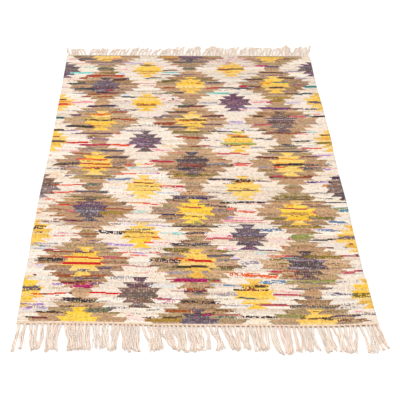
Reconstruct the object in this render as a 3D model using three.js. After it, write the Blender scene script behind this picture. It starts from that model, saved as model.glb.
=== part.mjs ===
// A flat-woven cotton kilim rug, 1.2 m wide and 1.8 m long, lying flat with its
// underside on z = 0. It has a knotted fringe at each end. Millimetres, +Z up.
// X runs across the rug and Y along it. The near end is at -Y.
//
// field        the woven sheet with its two narrow headings, one flat solid
// fringe_near  the row of knots and the tassels at the -Y end, one comb
// fringe_far   the row of knots and the tassels at the +Y end, one comb

import * as THREE from 'three';

// ---------------------------------------------------------------- sizes, mm

const WIDTH = 1200; // woven width, selvedge to selvedge
const LENGTH = 1800; // woven length, with both headings
const CLOTH = 4.0; // thickness of the weft-faced cloth
const GAP = 0.3; // between the cloth and each row of knots

const KNOTS = 5.5; // depth of the row of knots along Y
const FRINGE = 4.6; // thickness of a tassel lying flat
const KNOT_WIDTH = 10.4; // the bundle where it leaves its knot
const TASSEL_WIDTH = 6.8; // a bundle of plied yarns, flattened
const TIP_WIDTH = 5.8;
const KNOT_STEP = 12.6; // least distance between two knots
const MIDDLE_STEP = 8.6; // least distance between two tassels, half way along
const TIP_STEP = 7.8; // least distance between two tips

const WAVE = 0.45; // the weft's turns along a selvedge
const STEP_X = 25; // spacing of outline points along an end
const STEP_Y = 37.5; // spacing of outline points along a selvedge

// How far each selvedge stands out from a straight line, along the rug.
const SELVEDGE = [
  { y: -900, left: -2, right: 5 },
  { y: -800, left: -2, right: 2 },
  { y: -700, left: 1, right: 1 },
  { y: -640, left: 0, right: -4 },
  { y: -570, left: -1, right: -3 },
  { y: -450, left: 4, right: -2 },
  { y: -350, left: 3, right: 0 },
  { y: -200, left: 4, right: 0 },
  { y: -100, left: 2, right: -1 },
  { y: 60, left: -1, right: -1 },
  { y: 200, left: 0, right: 3 },
  { y: 450, left: 2, right: 2 },
  { y: 580, left: -2, right: -1 },
  { y: 700, left: -1, right: 0 },
  { y: 900, left: 0, right: 2 },
];

// How far each end's edge stands out from y = -LENGTH / 2 or +LENGTH / 2.
const ENDS = [
  { x: -600, near: -4, far: -8 },
  { x: -450, near: -3.5, far: -6 },
  { x: -300, near: -2, far: -4 },
  { x: -200, near: 1, far: -2.5 },
  { x: -150, near: 5, far: -1.5 },
  { x: 0, near: 6.8, far: 0.5 },
  { x: 200, near: 8, far: 3 },
  { x: 340, near: 10.5, far: 5 },
  { x: 450, near: 10, far: 6 },
  { x: 520, near: 6.5, far: 7 },
  { x: 600, near: 2.5, far: 8 },
];

// One tassel each: x of its knot, x of its tip, how far its middle swings
// towards +X, and how far the tip lies from the row of knots.
const NEAR_TASSELS = [
  [-595, -601, 2, 114], [-575, -577, -1, 103], [-555, -534, -3, 106], [-536, -527, -4, 105],
  [-517, -521, 4, 103], [-498, -493, 2, 113], [-484, -479, -3, 108], [-471, -470, -6, 110],
  [-458, -460, -7, 110], [-442, -416, 2, 108], [-428, -411, 1, 109], [-415, -395, 0, 109],
  [-403, -388, 2, 104], [-390, -383, 2, 110], [-378, -367, -4, 104], [-365, -355, -3, 106],
  [-349, -336, 1, 93], [-334, -316, -4, 97], [-317, -308, -1, 101], [-303, -289, -6, 107],
  [-284, -282, 0, 107], [-268, -273, -1, 106], [-253, -239, -3, 103], [-241, -224, -7, 110],
  [-229, -218, -4, 105], [-216, -209, -1, 111], [-202, -195, -1, 113], [-186, -159, 4, 109],
  [-167, -145, 3, 105], [-150, -132, 6, 101], [-136, -122, -1, 98], [-122, -81, -9, 97],
  [-110, -72, -7, 99], [-97, -64, -4, 101], [-83, -58, 0, 101], [-69, -53, 6, 101],
  [-54, -49, 0, 105], [-40, -28, 7, 103], [-24, -16, 3, 105], [-10, 1, 1, 107],
  [5, 12, 0, 94], [20, 30, 6, 99], [39, 61, 8, 99], [59, 77, -4, 96],
  [77, 108, 2, 92], [92, 115, 1, 96], [105, 124, -4, 99], [120, 133, 0, 94],
  [139, 153, -3, 91], [156, 159, 0, 100], [172, 185, -2, 103], [185, 194, 3, 98],
  [198, 203, -1, 97], [211, 210, -4, 100], [225, 224, 0, 94], [239, 264, -8, 109],
  [255, 273, -11, 114], [269, 286, -1, 112], [283, 294, 1, 113], [300, 302, -2, 110],
  [317, 320, 1, 104], [334, 332, 9, 102], [349, 354, 1, 102], [364, 366, 0, 105],
  [380, 392, -8, 102], [398, 417, 2, 105], [414, 428, -1, 105], [431, 443, -1, 101],
  [450, 459, 6, 105], [469, 471, 2, 106], [488, 487, 1, 112], [507, 500, -2, 104],
  [523, 509, 0, 113], [542, 554, 3, 110], [561, 568, 4, 111], [577, 585, 1, 99],
  [591, 601, -1, 104], [602, 616, -1, 102],
];

const FAR_TASSELS = [
  [-596, -614, 2, 72], [-583, -587, 1, 64], [-567, -574, 1, 64], [-550, -561, 1, 64],
  [-533, -548, 1, 68], [-515, -534, 2, 68], [-497, -479, -3, 70], [-481, -467, -2, 64],
  [-465, -453, -1, 67], [-449, -435, -2, 71], [-434, -424, -2, 68], [-418, -410, 0, 71],
  [-398, -379, -3, 62], [-383, -363, -3, 67], [-366, -352, -2, 67], [-349, -336, -2, 65],
  [-332, -321, -1, 72], [-316, -304, -2, 73], [-298, -278, -3, 72], [-284, -267, -2, 76],
  [-270, -256, -2, 84], [-255, -234, -3, 73], [-238, -221, -2, 68], [-221, -207, -2, 77],
  [-205, -191, -2, 69], [-187, -163, -4, 62], [-170, -148, -4, 69], [-150, -128, -3, 63],
  [-133, -113, -3, 73], [-117, -101, -1, 82], [-102, -88, -2, 72], [-85, -71, -2, 73],
  [-69, -57, 0, 91], [-52, -45, 0, 78], [-36, -31, 1, 92], [-21, 2, -3, 76],
  [-5, 17, -3, 81], [12, 32, -2, 92], [29, 45, -1, 98], [46, 56, 1, 84],
  [67, 91, -4, 75], [84, 104, -3, 85], [100, 116, -2, 101], [115, 128, -1, 101],
  [130, 142, 1, 85], [145, 155, 0, 88], [160, 168, 1, 82], [175, 184, 0, 67],
  [191, 199, 0, 76], [206, 214, 0, 81], [220, 230, -1, 86], [234, 248, -2, 90],
  [248, 265, -3, 69], [262, 278, -2, 82], [277, 292, -1, 95], [291, 311, -2, 92],
  [305, 323, -2, 87], [319, 338, -1, 84], [334, 353, -2, 87], [350, 368, -1, 87],
  [366, 383, -2, 83], [382, 398, 0, 88], [398, 412, 1, 81], [415, 433, -2, 78],
  [431, 448, -1, 89], [446, 463, 0, 91], [462, 478, 0, 98], [478, 494, 1, 112],
  [492, 502, 2, 95], [504, 513, 3, 87], [521, 545, -3, 90], [537, 558, -2, 92],
  [551, 571, 0, 103], [566, 583, -1, 91], [579, 598, 0, 96], [591, 617, 1, 111],
];

// The outline of one tassel: how wide it is, at shares of the way to its tip.
const TASSEL_PROFILE = [
  { along: 0, width: KNOT_WIDTH },
  { along: 0.07, width: TASSEL_WIDTH },
  { along: 0.36, width: TASSEL_WIDTH },
  { along: 0.7, width: TASSEL_WIDTH },
  { along: 1, width: TIP_WIDTH },
];

// ------------------------------------------------------------- small helpers

// A column of a table at a place between its rows, with rounded steps.
function between(table, key, column, at) {
  if (at <= table[0][key]) return table[0][column];
  for (let i = 1; i < table.length; i++) {
    const a = table[i - 1];
    const b = table[i];
    if (at <= b[key]) {
      const t = (at - a[key]) / (b[key] - a[key]);
      return a[column] + (b[column] - a[column]) * t * t * (3 - 2 * t);
    }
  }
  return table[table.length - 1][column];
}

const leftEdge = (y) =>
  -WIDTH / 2 - between(SELVEDGE, 'y', 'left', y) - WAVE * Math.sin(y * 0.31);
const rightEdge = (y) =>
  WIDTH / 2 + between(SELVEDGE, 'y', 'right', y) + WAVE * Math.sin(y * 0.29 + 1);
const nearEdge = (x) =>
  -LENGTH / 2 - between(ENDS, 'x', 'near', x) - 0.3 * Math.sin(x * 0.043);
const farEdge = (x) =>
  LENGTH / 2 + between(ENDS, 'x', 'far', x) + 0.3 * Math.sin(x * 0.039);

function steps(from, to, about) {
  const n = Math.round(Math.abs(to - from) / about);
  return Array.from({ length: n + 1 }, (_, i) => from + ((to - from) * i) / n);
}

function plate(outline, thickness) {
  const shape = new THREE.Shape(outline.map(([x, y]) => new THREE.Vector2(x, y)));
  return new THREE.ExtrudeGeometry(shape, { depth: thickness, bevelEnabled: false });
}

// ------------------------------------------------------------------ the cloth

function fieldOutline() {
  const corner = {
    nearLeft: leftEdge(nearEdge(-WIDTH / 2)),
    nearRight: rightEdge(nearEdge(WIDTH / 2)),
    farLeft: leftEdge(farEdge(-WIDTH / 2)),
    farRight: rightEdge(farEdge(WIDTH / 2)),
  };
  const near = steps(corner.nearLeft, corner.nearRight, STEP_X).map((x) => [x, nearEdge(x)]);
  const far = steps(corner.farRight, corner.farLeft, STEP_X).map((x) => [x, farEdge(x)]);
  const right = steps(near[near.length - 1][1], far[0][1], STEP_Y)
    .slice(1, -1)
    .map((y) => [rightEdge(y), y]);
  const left = steps(far[far.length - 1][1], near[0][1], STEP_Y)
    .slice(1, -1)
    .map((y) => [leftEdge(y), y]);
  return [...near, ...right, ...far, ...left];
}

// ---------------------------------------------------------------- the fringes

// Moves a row of numbers apart until each is at least `least` from the next.
function apart(list, least, inside = (x) => x) {
  for (let pass = 0; pass < 600; pass++) {
    for (let i = 1; i < list.length; i++) {
      const short = least - (list[i] - list[i - 1]);
      if (short > 0) {
        list[i] = inside(list[i] + short / 2);
        list[i - 1] = inside(list[i - 1] - short / 2);
      }
    }
  }
  return list;
}

function tassels(table, from, to) {
  const inside = (x) => Math.min(Math.max(x, from + KNOT_WIDTH / 2), to - KNOT_WIDTH / 2);
  const base = apart(table.map((t) => inside(t[0])), KNOT_STEP, inside);
  const tip = apart(table.map((t) => t[1]), TIP_STEP);
  const middle = apart(table.map((t, i) => (base[i] + tip[i]) / 2 + t[2]), MIDDLE_STEP);
  return table.map((t, i) => ({
    base: base[i],
    tip: tip[i],
    bow: middle[i] - (base[i] + tip[i]) / 2,
    reach: t[3],
  }));
}

// One comb: the row of knots follows the cloth's edge, and each tassel is a
// tooth on it. side is -1 at the near end and +1 at the far end.
function combOutline(table, edge, side, from, to) {
  const inner = steps(from, to, STEP_X).map((x) => [x, edge(x) + side * GAP]);
  const outer = [];
  for (const t of tassels(table, from, to)) {
    const start = edge(t.base) + side * (GAP + KNOTS);
    const one = [];
    const other = [];
    for (const { along, width } of TASSEL_PROFILE) {
      const x = t.base + (t.tip - t.base) * along + t.bow * Math.sin(Math.PI * along);
      const y = start + side * t.reach * along;
      const slope = (t.tip - t.base) / t.reach;
      const half = (width / 2) * Math.hypot(1, slope);
      one.push([x - half, y]);
      other.unshift([x + half, y + side * 0.05]);
    }
    outer.push(...one, ...other);
  }
  return [...inner, ...outer.reverse()];
}

// -------------------------------------------------------------------- the rug

const cotton = (name, color) =>
  new THREE.MeshStandardMaterial({ name, color, roughness: 0.95, metalness: 0 });

function piece(name, outline, thickness, material) {
  const mesh = new THREE.Mesh(plate(outline, thickness), material);
  mesh.name = name;
  return mesh;
}

const woven = cotton('woven cotton', 0xcbb294);
const yarn = cotton('cotton yarn', 0xefd8c0);

const nearFrom = leftEdge(-LENGTH / 2);
const nearTo = rightEdge(-LENGTH / 2);
const farFrom = leftEdge(LENGTH / 2);
const farTo = rightEdge(LENGTH / 2);

const rug = new THREE.Group();
rug.add(piece('field', fieldOutline(), CLOTH, woven));
rug.add(piece('fringe_near', combOutline(NEAR_TASSELS, nearEdge, -1, nearFrom, nearTo), FRINGE, yarn));
rug.add(piece('fringe_far', combOutline(FAR_TASSELS, farEdge, 1, farFrom, farTo), FRINGE, yarn));

// The origin is under the middle of the whole rug, fringes included.
const box = new THREE.Box3().setFromObject(rug);
rug.position.set(-(box.min.x + box.max.x) / 2, -(box.min.y + box.max.y) / 2, 0);
rug.updateMatrixWorld(true);

export default rug;
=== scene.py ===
# A kilim rug lying flat on a pale floor: the woven field as one sheet built row
# by row, and a knotted fringe of plied yarn at each end. The tables are in
# millimetres, and the objects in metres.

import math

import bpy
import numpy as np
from mathutils import Matrix, Vector


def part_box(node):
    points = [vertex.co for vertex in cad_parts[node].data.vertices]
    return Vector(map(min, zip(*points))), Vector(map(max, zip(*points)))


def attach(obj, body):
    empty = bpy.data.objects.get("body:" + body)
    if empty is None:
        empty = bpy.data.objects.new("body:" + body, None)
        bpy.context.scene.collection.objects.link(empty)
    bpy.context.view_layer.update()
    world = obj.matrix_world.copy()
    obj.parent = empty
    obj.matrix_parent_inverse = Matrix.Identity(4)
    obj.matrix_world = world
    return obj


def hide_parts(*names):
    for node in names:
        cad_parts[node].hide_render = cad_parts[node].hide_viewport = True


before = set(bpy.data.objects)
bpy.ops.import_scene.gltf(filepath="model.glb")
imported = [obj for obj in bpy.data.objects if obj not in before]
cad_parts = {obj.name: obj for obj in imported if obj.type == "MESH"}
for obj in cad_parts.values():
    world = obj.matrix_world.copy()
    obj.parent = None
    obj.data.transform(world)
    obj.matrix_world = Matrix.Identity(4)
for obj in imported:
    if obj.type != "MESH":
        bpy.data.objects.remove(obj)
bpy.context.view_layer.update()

# ------------------------------------------------------------- the rug's sizes

WIDTH, LENGTH = 1200.0, 1800.0
GAP, KNOTS = 0.3, 5.5
KNOT_WIDTH, KNOT_STEP, MIDDLE_STEP, TIP_STEP = 10.4, 12.6, 8.6, 7.8

WARPS = 280  # warp ends across the rug
PITCH = WIDTH / WARPS
BANDS = 72  # stepped bands of the pattern along the rug
PER_BAND = 6  # rows of weft in a band
NEAR_ROWS = 3  # rows in the near heading
FAR_ROWS = 1  # rows in the far heading
ROWS = FAR_ROWS + BANDS * PER_BAND + NEAR_ROWS
REPEAT = 400.0  # width of one repeat of the pattern
FAR_HEADING = 4.0

SELVEDGE_Y = [-900, -800, -700, -640, -570, -450, -350, -200, -100, 60, 200, 450, 580, 700, 900]
SELVEDGE_LEFT = [3, 4, 6, 5, 5, 8, 7, 8, 6, 2, 1, 2, 1, 3, 4]
SELVEDGE_RIGHT = [5, 2, 1, -4, -3, -2, 0, 0, -1, -1, 3, 2, -1, 0, 2]
ENDS_X = [-600, -450, -300, -200, -150, 0, 200, 340, 450, 520, 600]
ENDS_NEAR = [-4, -3.5, -2, 1, 5, 6.8, 8, 10.5, 10, 6.5, 2.5]
ENDS_FAR = [-8, -6, -4, -2.5, -1.5, 0.5, 3, 5, 6, 7, 8]

# One tassel each: x of its knot, x of its tip, how far its middle swings towards
# +X, and how far the tip lies from the row of knots.
NEAR_TASSELS = [
    (-595, -601, 2, 114), (-575, -577, -1, 103), (-555, -534, -3, 106), (-536, -527, -4, 105),
    (-517, -521, 4, 103), (-498, -493, 2, 113), (-484, -479, -3, 108), (-471, -470, -6, 110),
    (-458, -460, -7, 110), (-442, -416, 2, 108), (-428, -411, 1, 109), (-415, -395, 0, 109),
    (-403, -388, 2, 104), (-390, -383, 2, 110), (-378, -367, -4, 104), (-365, -355, -3, 106),
    (-349, -336, 1, 93), (-334, -316, -4, 97), (-317, -308, -1, 101), (-303, -289, -6, 107),
    (-284, -282, 0, 107), (-268, -273, -1, 106), (-253, -239, -3, 103), (-241, -224, -7, 110),
    (-229, -218, -4, 105), (-216, -209, -1, 111), (-202, -195, -1, 113), (-186, -159, 4, 109),
    (-167, -145, 3, 105), (-150, -132, 6, 101), (-136, -122, -1, 98), (-122, -81, -9, 97),
    (-110, -72, -7, 99), (-97, -64, -4, 101), (-83, -58, 0, 101), (-69, -53, 6, 101),
    (-54, -49, 0, 105), (-40, -28, 7, 103), (-24, -16, 3, 105), (-10, 1, 1, 107),
    (5, 12, 0, 94), (20, 30, 6, 99), (39, 61, 8, 99), (59, 77, -4, 96),
    (77, 108, 2, 92), (92, 115, 1, 96), (105, 124, -4, 99), (120, 133, 0, 94),
    (139, 153, -3, 91), (156, 159, 0, 100), (172, 185, -2, 103), (185, 194, 3, 98),
    (198, 203, -1, 97), (211, 210, -4, 100), (225, 224, 0, 94), (239, 264, -8, 109),
    (255, 273, -11, 114), (269, 286, -1, 112), (283, 294, 1, 113), (300, 302, -2, 110),
    (317, 320, 1, 104), (334, 332, 9, 102), (349, 354, 1, 102), (364, 366, 0, 105),
    (380, 392, -8, 102), (398, 417, 2, 105), (414, 428, -1, 105), (431, 443, -1, 101),
    (450, 459, 6, 105), (469, 471, 2, 106), (488, 487, 1, 112), (507, 500, -2, 104),
    (523, 509, 0, 113), (542, 554, 3, 110), (561, 568, 4, 111), (577, 585, 1, 99),
    (591, 601, -1, 104), (602, 616, -1, 102),
]
FAR_TASSELS = [
    (-596, -614, 2, 72), (-583, -587, 1, 64), (-567, -574, 1, 64), (-550, -561, 1, 64),
    (-533, -548, 1, 68), (-515, -534, 2, 68), (-497, -479, -3, 70), (-481, -467, -2, 64),
    (-465, -453, -1, 67), (-449, -435, -2, 71), (-434, -424, -2, 68), (-418, -410, 0, 71),
    (-398, -379, -3, 62), (-383, -363, -3, 67), (-366, -352, -2, 67), (-349, -336, -2, 65),
    (-332, -321, -1, 72), (-316, -304, -2, 73), (-298, -278, -3, 72), (-284, -267, -2, 76),
    (-270, -256, -2, 84), (-255, -234, -3, 73), (-238, -221, -2, 68), (-221, -207, -2, 77),
    (-205, -191, -2, 69), (-187, -163, -4, 62), (-170, -148, -4, 69), (-150, -128, -3, 63),
    (-133, -113, -3, 73), (-117, -101, -1, 82), (-102, -88, -2, 72), (-85, -71, -2, 73),
    (-69, -57, 0, 91), (-52, -45, 0, 78), (-36, -31, 1, 92), (-21, 2, -3, 76),
    (-5, 17, -3, 81), (12, 32, -2, 92), (29, 45, -1, 98), (46, 56, 1, 84),
    (67, 91, -4, 75), (84, 104, -3, 85), (100, 116, -2, 101), (115, 128, -1, 101),
    (130, 142, 1, 85), (145, 155, 0, 88), (160, 168, 1, 82), (175, 184, 0, 67),
    (191, 199, 0, 76), (206, 214, 0, 81), (220, 230, -1, 86), (234, 248, -2, 90),
    (248, 265, -3, 69), (262, 278, -2, 82), (277, 292, -1, 95), (291, 311, -2, 92),
    (305, 323, -2, 87), (319, 338, -1, 84), (334, 353, -2, 87), (350, 368, -1, 87),
    (366, 383, -2, 83), (382, 398, 0, 88), (398, 412, 1, 81), (415, 433, -2, 78),
    (431, 448, -1, 89), (446, 463, 0, 91), (462, 478, 0, 98), (478, 494, 1, 112),
    (492, 502, 2, 95), (504, 513, 3, 87), (521, 545, -3, 90), (537, 558, -2, 92),
    (551, 571, 0, 103), (566, 583, -1, 91), (579, 598, 0, 96), (591, 617, 1, 111),
]


def smooth(keys, values, at):
    keys, values = np.asarray(keys, float), np.asarray(values, float)
    at = np.asarray(at, float)
    i = np.clip(np.searchsorted(keys, at), 1, len(keys) - 1)
    t = np.clip((at - keys[i - 1]) / (keys[i] - keys[i - 1]), 0, 1)
    return values[i - 1] + (values[i] - values[i - 1]) * t * t * (3 - 2 * t)


def left_edge(y):
    return -WIDTH / 2 - smooth(SELVEDGE_Y, SELVEDGE_LEFT, y) - 0.45 * np.sin(np.asarray(y) * 0.31)


def right_edge(y):
    return WIDTH / 2 + smooth(SELVEDGE_Y, SELVEDGE_RIGHT, y) + 0.45 * np.sin(np.asarray(y) * 0.29 + 1)


def near_edge(x):
    return -LENGTH / 2 - smooth(ENDS_X, ENDS_NEAR, x) - 0.3 * np.sin(np.asarray(x) * 0.043)


def far_edge(x):
    return LENGTH / 2 + smooth(ENDS_X, ENDS_FAR, x) + 0.3 * np.sin(np.asarray(x) * 0.039)


# The CAD rug is moved so that its origin is under its middle. The same move
# comes from comparing the drawn outline with the field's own box.
_lo, _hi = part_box("field")
_outline_x = (-603.724, 604.562)
_outline_y = (-910.716, 907.704)
SHIFT = np.array([
    ((_lo.x + _hi.x) * 1000 - sum(_outline_x)) / 2,
    ((_lo.y + _hi.y) * 1000 - sum(_outline_y)) / 2,
    0.0,
])


def metres(points):
    return (np.asarray(points, float) + SHIFT) / 1000


# --------------------------------------------------------------------- colours

# How a surface lying on the floor comes out: LIGHT times its colour, and a
# little more that its fibres throw back whatever their colour is.
LIGHT, VEIL = 1.25, 0.02


def linear(rgb):
    c = np.asarray(rgb, float) / 255
    c = np.where(c <= 0.04045, c / 12.92, ((c + 0.055) / 1.055) ** 2.4)
    return np.clip((c - VEIL) / LIGHT, 0.004, 0.93)


NAMED = {
    "black": (52, 44, 48), "charcoal": (78, 70, 78), "darkgrey": (98, 92, 96),
    "grey": (138, 130, 134), "greygreen": (112, 118, 100), "palegrey": (216, 216, 214),
    "lilacgrey": (166, 154, 164), "lilac": (196, 176, 212), "violet": (182, 136, 206),
    "purple": (112, 64, 122), "mauve": (148, 106, 128), "plum": (98, 56, 82),
    "purpleblack": (66, 48, 68), "purplegrey": (122, 104, 112),
    "maroon": (116, 56, 58), "crimson": (196, 52, 80), "red": (218, 38, 36),
    "orangered": (240, 82, 50), "brick": (188, 78, 48), "rust": (168, 84, 56),
    "rose": (206, 96, 104), "pink": (240, 146, 160), "palepink": (248, 204, 202),
    "coral": (244, 120, 100), "peach": (244, 198, 160), "orange": (242, 148, 50),
    "magenta": (188, 46, 100), "flame": (236, 104, 62), "gold": (178, 140, 58), "olive": (128, 112, 50),
    "olivegreen": (152, 152, 82), "darkbrown": (86, 62, 50), "brown": (126, 90, 64),
    "teal": (62, 126, 120), "paleteal": (182, 222, 210), "darkteal": (52, 72, 76),
    "turquoise": (128, 206, 200), "blue": (106, 134, 172), "paleblue": (182, 202, 226),
    "navy": (50, 52, 88), "green": (146, 170, 92), "yellow": (250, 200, 40),
    "tan": (206, 176, 148), "straw": (234, 208, 152), "butter": (250, 230, 194),
    "cream": (250, 241, 230), "indigo": (84, 74, 112),
}

# Each ground colour is spun from several lots of yarn: the main colour, the
# colour of its odd fibres, how many of those there are, and how common it is.
LOTS = {
    "brown": [
        ((194, 156, 122), (168, 130, 97), 0.22, 5), ((200, 161, 124), (218, 181, 144), 0.22, 2.5),
        ((182, 154, 117), (150, 124, 91), 0.26, 3), ((208, 171, 137), (228, 191, 157), 0.22, 0.8),
        ((186, 150, 120), (158, 124, 99), 0.26, 1.5), ((171, 135, 102), (139, 105, 76), 0.28, 2),
        ((177, 144, 121), (151, 121, 108), 0.28, 0.4),
    ],
    "cream": [
        ((245, 228, 210), (234, 214, 194), 0.20, 5), ((249, 236, 220), (242, 226, 208), 0.18, 2.4),
        ((238, 219, 200), (224, 202, 182), 0.25, 2.5), ((236, 222, 208), (221, 208, 196), 0.25, 1.1),
        ((246, 226, 207), (238, 208, 190), 0.25, 1.2), ((229, 210, 191), (212, 192, 174), 0.25, 1.4),
    ],
    "yellow": [
        ((249, 203, 104), (241, 182, 72), 0.24, 4), ((250, 198, 78), (251, 216, 134), 0.24, 2.5),
        ((247, 209, 132), (239, 192, 98), 0.24, 2), ((237, 187, 88), (217, 164, 76), 0.28, 1.5),
    ],
    "sun": [
        ((251, 207, 82), (250, 216, 120), 0.24, 3), ((250, 201, 70), (244, 184, 64), 0.24, 2),
    ],
    "pale_yellow": [
        ((250, 209, 116), (244, 194, 92), 0.24, 3), ((248, 202, 102), (251, 219, 138), 0.24, 2),
        ((250, 214, 134), (241, 196, 102), 0.24, 1),
    ],
    "slate": [
        ((111, 96, 103), (160, 143, 148), 1.28, 3), ((101, 88, 94), (152, 136, 142), 1.28, 2),
        ((116, 98, 101), (170, 150, 150), 1.30, 2),
    ],
    "plum": [
        ((126, 97, 104), (180, 152, 157), 1.28, 3), ((113, 86, 94), (168, 140, 146), 1.28, 2),
        ((130, 107, 109), (186, 163, 163), 1.28, 2),
    ],
    "umber": [
        ((130, 103, 90), (186, 161, 146), 1.30, 3), ((116, 91, 79), (174, 150, 135), 1.30, 2),
        ((136, 112, 104), (188, 167, 157), 1.28, 1.5),
    ],
    "charcoal": [
        ((104, 87, 86), (162, 142, 138), 1.28, 3), ((94, 79, 80), (150, 131, 128), 1.28, 2),
        ((116, 94, 88), (170, 148, 140), 1.28, 1.5),
    ],
    "dusk": [
        ((118, 86, 102), (168, 138, 150), 1.28, 3), ((106, 77, 93), (156, 128, 142), 1.26, 2),
    ],
    "soot": [
        ((84, 75, 77), (158, 140, 136), 1.34, 3), ((76, 69, 71), (144, 129, 126), 1.32, 2),
    ],
    "ash": [
        ((140, 120, 119), (190, 171, 167), 1.28, 3), ((127, 109, 111), (182, 162, 159), 1.28, 2),
    ],
    "russet": [
        ((144, 102, 84), (108, 94, 93), 1.34, 3), ((132, 101, 86), (98, 86, 86), 1.34, 2),
    ],
    "heading": [((246, 220, 196), (230, 198, 170), 0.25, 1)],
    # painted shade: the dark olive-grey that stands in for the shade on the far heading
    "far_heading_painted_shade": [((120, 114, 80), (150, 138, 100), 0.35, 1)],
}

styles, style_number = [], {}


def style(a, b, q):
    key = (tuple(round(float(x), 1) for x in a), tuple(round(float(x), 1) for x in b), round(q, 3))
    if key not in style_number:
        style_number[key] = len(styles)
        styles.append(key)
    return style_number[key]


# ----------------------------------------------------------- rows of the weave

# Where the pattern's rows lie along the rug, at five places across it.
ACROSS = [-600, -400, 0, 400, 600]
ROW_Y = {
    6: (757, 760, 768, 787, 790),
    12: (604, 607, 625, 637, 640),
    18: (463, 466, 474, 482, 490),
    24: (314, 316, 319, 323, 326),
    30: (165, 160, 161, 160, 172),
    36: (0, 0, 2, 2, 2),
    42: (-158, -160, -162, -167, -165),
    48: (-298, -300, -310, -316, -316),
    54: (-443, -446, -456, -466, -462),
    60: (-588, -590, -602, -612, -612),
    66: (-750, -752, -757, -765, -760),
}
PATTERN_NEAR_X = [-600, -460, -330, -245, -160, 0, 170, 340, 440, 510, 560, 600]
PATTERN_NEAR_Y = [-885.5, -885.5, -888, -890, -897.5, -899.4, -900.4, -903, -902.5, -900, -895, -894]

rng = np.random.default_rng(41)
lattice = np.linspace(-WIDTH / 2, WIDTH / 2, WARPS + 1)


def blur(a, sigma, axis):
    n = int(3 * sigma) + 1
    k = np.exp(-0.5 * (np.arange(-n, n + 1) / sigma) ** 2)
    k /= k.sum()
    pad = [(0, 0), (0, 0)]
    pad[axis] = (n, n)
    p = np.pad(a, pad, mode="reflect", reflect_type="odd")
    return np.apply_along_axis(lambda v: np.convolve(v, k, mode="valid"), axis, p)


def row_lines():
    """y of every line between two rows of weft, far to near, at every warp."""
    nodes = np.zeros((BANDS // 6 + 1, WARPS + 1))
    nodes[0] = far_edge(lattice) - FAR_HEADING
    for v, ys in ROW_Y.items():
        nodes[v // 6] = np.interp(lattice, ACROSS, ys)
    nodes[1:-1] = blur(nodes[1:-1], 14, 1)
    nodes[-1] = smooth(PATTERN_NEAR_X, PATTERN_NEAR_Y, lattice)
    slopes = np.gradient(nodes, axis=0)
    lines = np.zeros((ROWS + 1, WARPS + 1))
    for k in range(BANDS * PER_BAND + 1):
        s = k / (6 * PER_BAND)
        i = min(int(s), len(nodes) - 2)
        t = s - i
        lines[FAR_ROWS + k] = (
            nodes[i] * (2 * t**3 - 3 * t**2 + 1) + slopes[i] * (t**3 - 2 * t**2 + t)
            + nodes[i + 1] * (-2 * t**3 + 3 * t**2) + slopes[i + 1] * (t**3 - t**2)
        )
    last = FAR_ROWS + BANDS * PER_BAND
    for k in range(FAR_ROWS):
        lines[k] = far_edge(lattice) + (lines[FAR_ROWS] - far_edge(lattice)) * k / FAR_ROWS
    for k in range(1, NEAR_ROWS + 1):
        lines[last + k] = lines[last] + (near_edge(lattice) - lines[last]) * k / NEAR_ROWS
    # The weft wanders a little.
    wander = blur(blur(rng.normal(size=lines.shape), 22, 1), 5, 0)
    wander *= 1.1 / wander.std()
    rows = np.arange(ROWS + 1)
    hold = np.clip(np.minimum(rows - FAR_ROWS, last - rows) / 12, 0, 1)
    return lines + wander * hold[:, None]


LINES = row_lines()


def row_at(x, y):
    """The place of a point of the rug, counted in rows from the far edge."""
    m = int(np.clip(round((x + WIDTH / 2) / PITCH), 0, WARPS))
    return float(np.interp(-y, -LINES[:, m], np.arange(ROWS + 1)))


def warp_at(x):
    return (x + WIDTH / 2) / PITCH


# ------------------------------------------------------------------ the pattern

grid = np.zeros((ROWS, WARPS), int)
block = np.zeros((ROWS, WARPS), int)
TIPS = [0.4185, 0.354, 0.289, 0.225, 0.160, 0.096]  # half widths of a diamond's bands
SLANT = [0.028, 0.042, 0.044, 0.044, 0.042, 0.028]
# Full widths of a motif's six bands, far to near, at each band's far and near edge.
MOTIF = [(0.154, 0.052), (0.262, 0.180), (0.366, 0.290), (0.296, 0.380), (0.184, 0.268), (0.058, 0.196)]
# The yarn of each dark or bright motif, band by band from its far end, by its
# column and its place along the column. The others are yellow.
TONES = {
    "a": "ash", "c": "charcoal", "d": "dusk", "p": "plum", "r": "russet", "s": "slate", "t": "soot",
    "u": "umber", "w": "pale_yellow", "y": "yellow", "g": "sun",
}
# The dark motifs are made of whatever dark scraps came to hand, so their bands
# are drawn at random. The others have one tone, or green where scraps ran in.
DARK_MOTIFS = [
    (0, 0), (-600, 0), (600, 0), (-400, 1), (200, 1), (400, 2), (-200, 2), (0, 3), (-600, 3), (600, 3),
    (-400, 4), (200, 4), (400, 5), (-200, 5), (0, 6),
]


def scraps(places):
    draw = np.random.default_rng(2024)
    tones = {}
    for place in places:
        bands = []
        for _ in range(6):
            same = bands and draw.uniform() < 0.45
            bands.append(bands[-1] if same else str(draw.choice(list("spucda"))))
        tones[place] = "".join(bands)
    return tones


MOTIF_TONES = scraps(DARK_MOTIFS)
MOTIF_TONES.update({
    (0, 4): "g", (-400, 6): "g", (-200, 4): "yyyygg", (400, 4): "yggygy", (-600, 5): "yggyyy",
    (-200, 3): "w", (200, 3): "w", (400, 3): "w",
})
DRIFT = {-600: -1, -400: -3, -200: -3, 0: -2, 200: -1, 400: -1, 600: 0}


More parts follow.
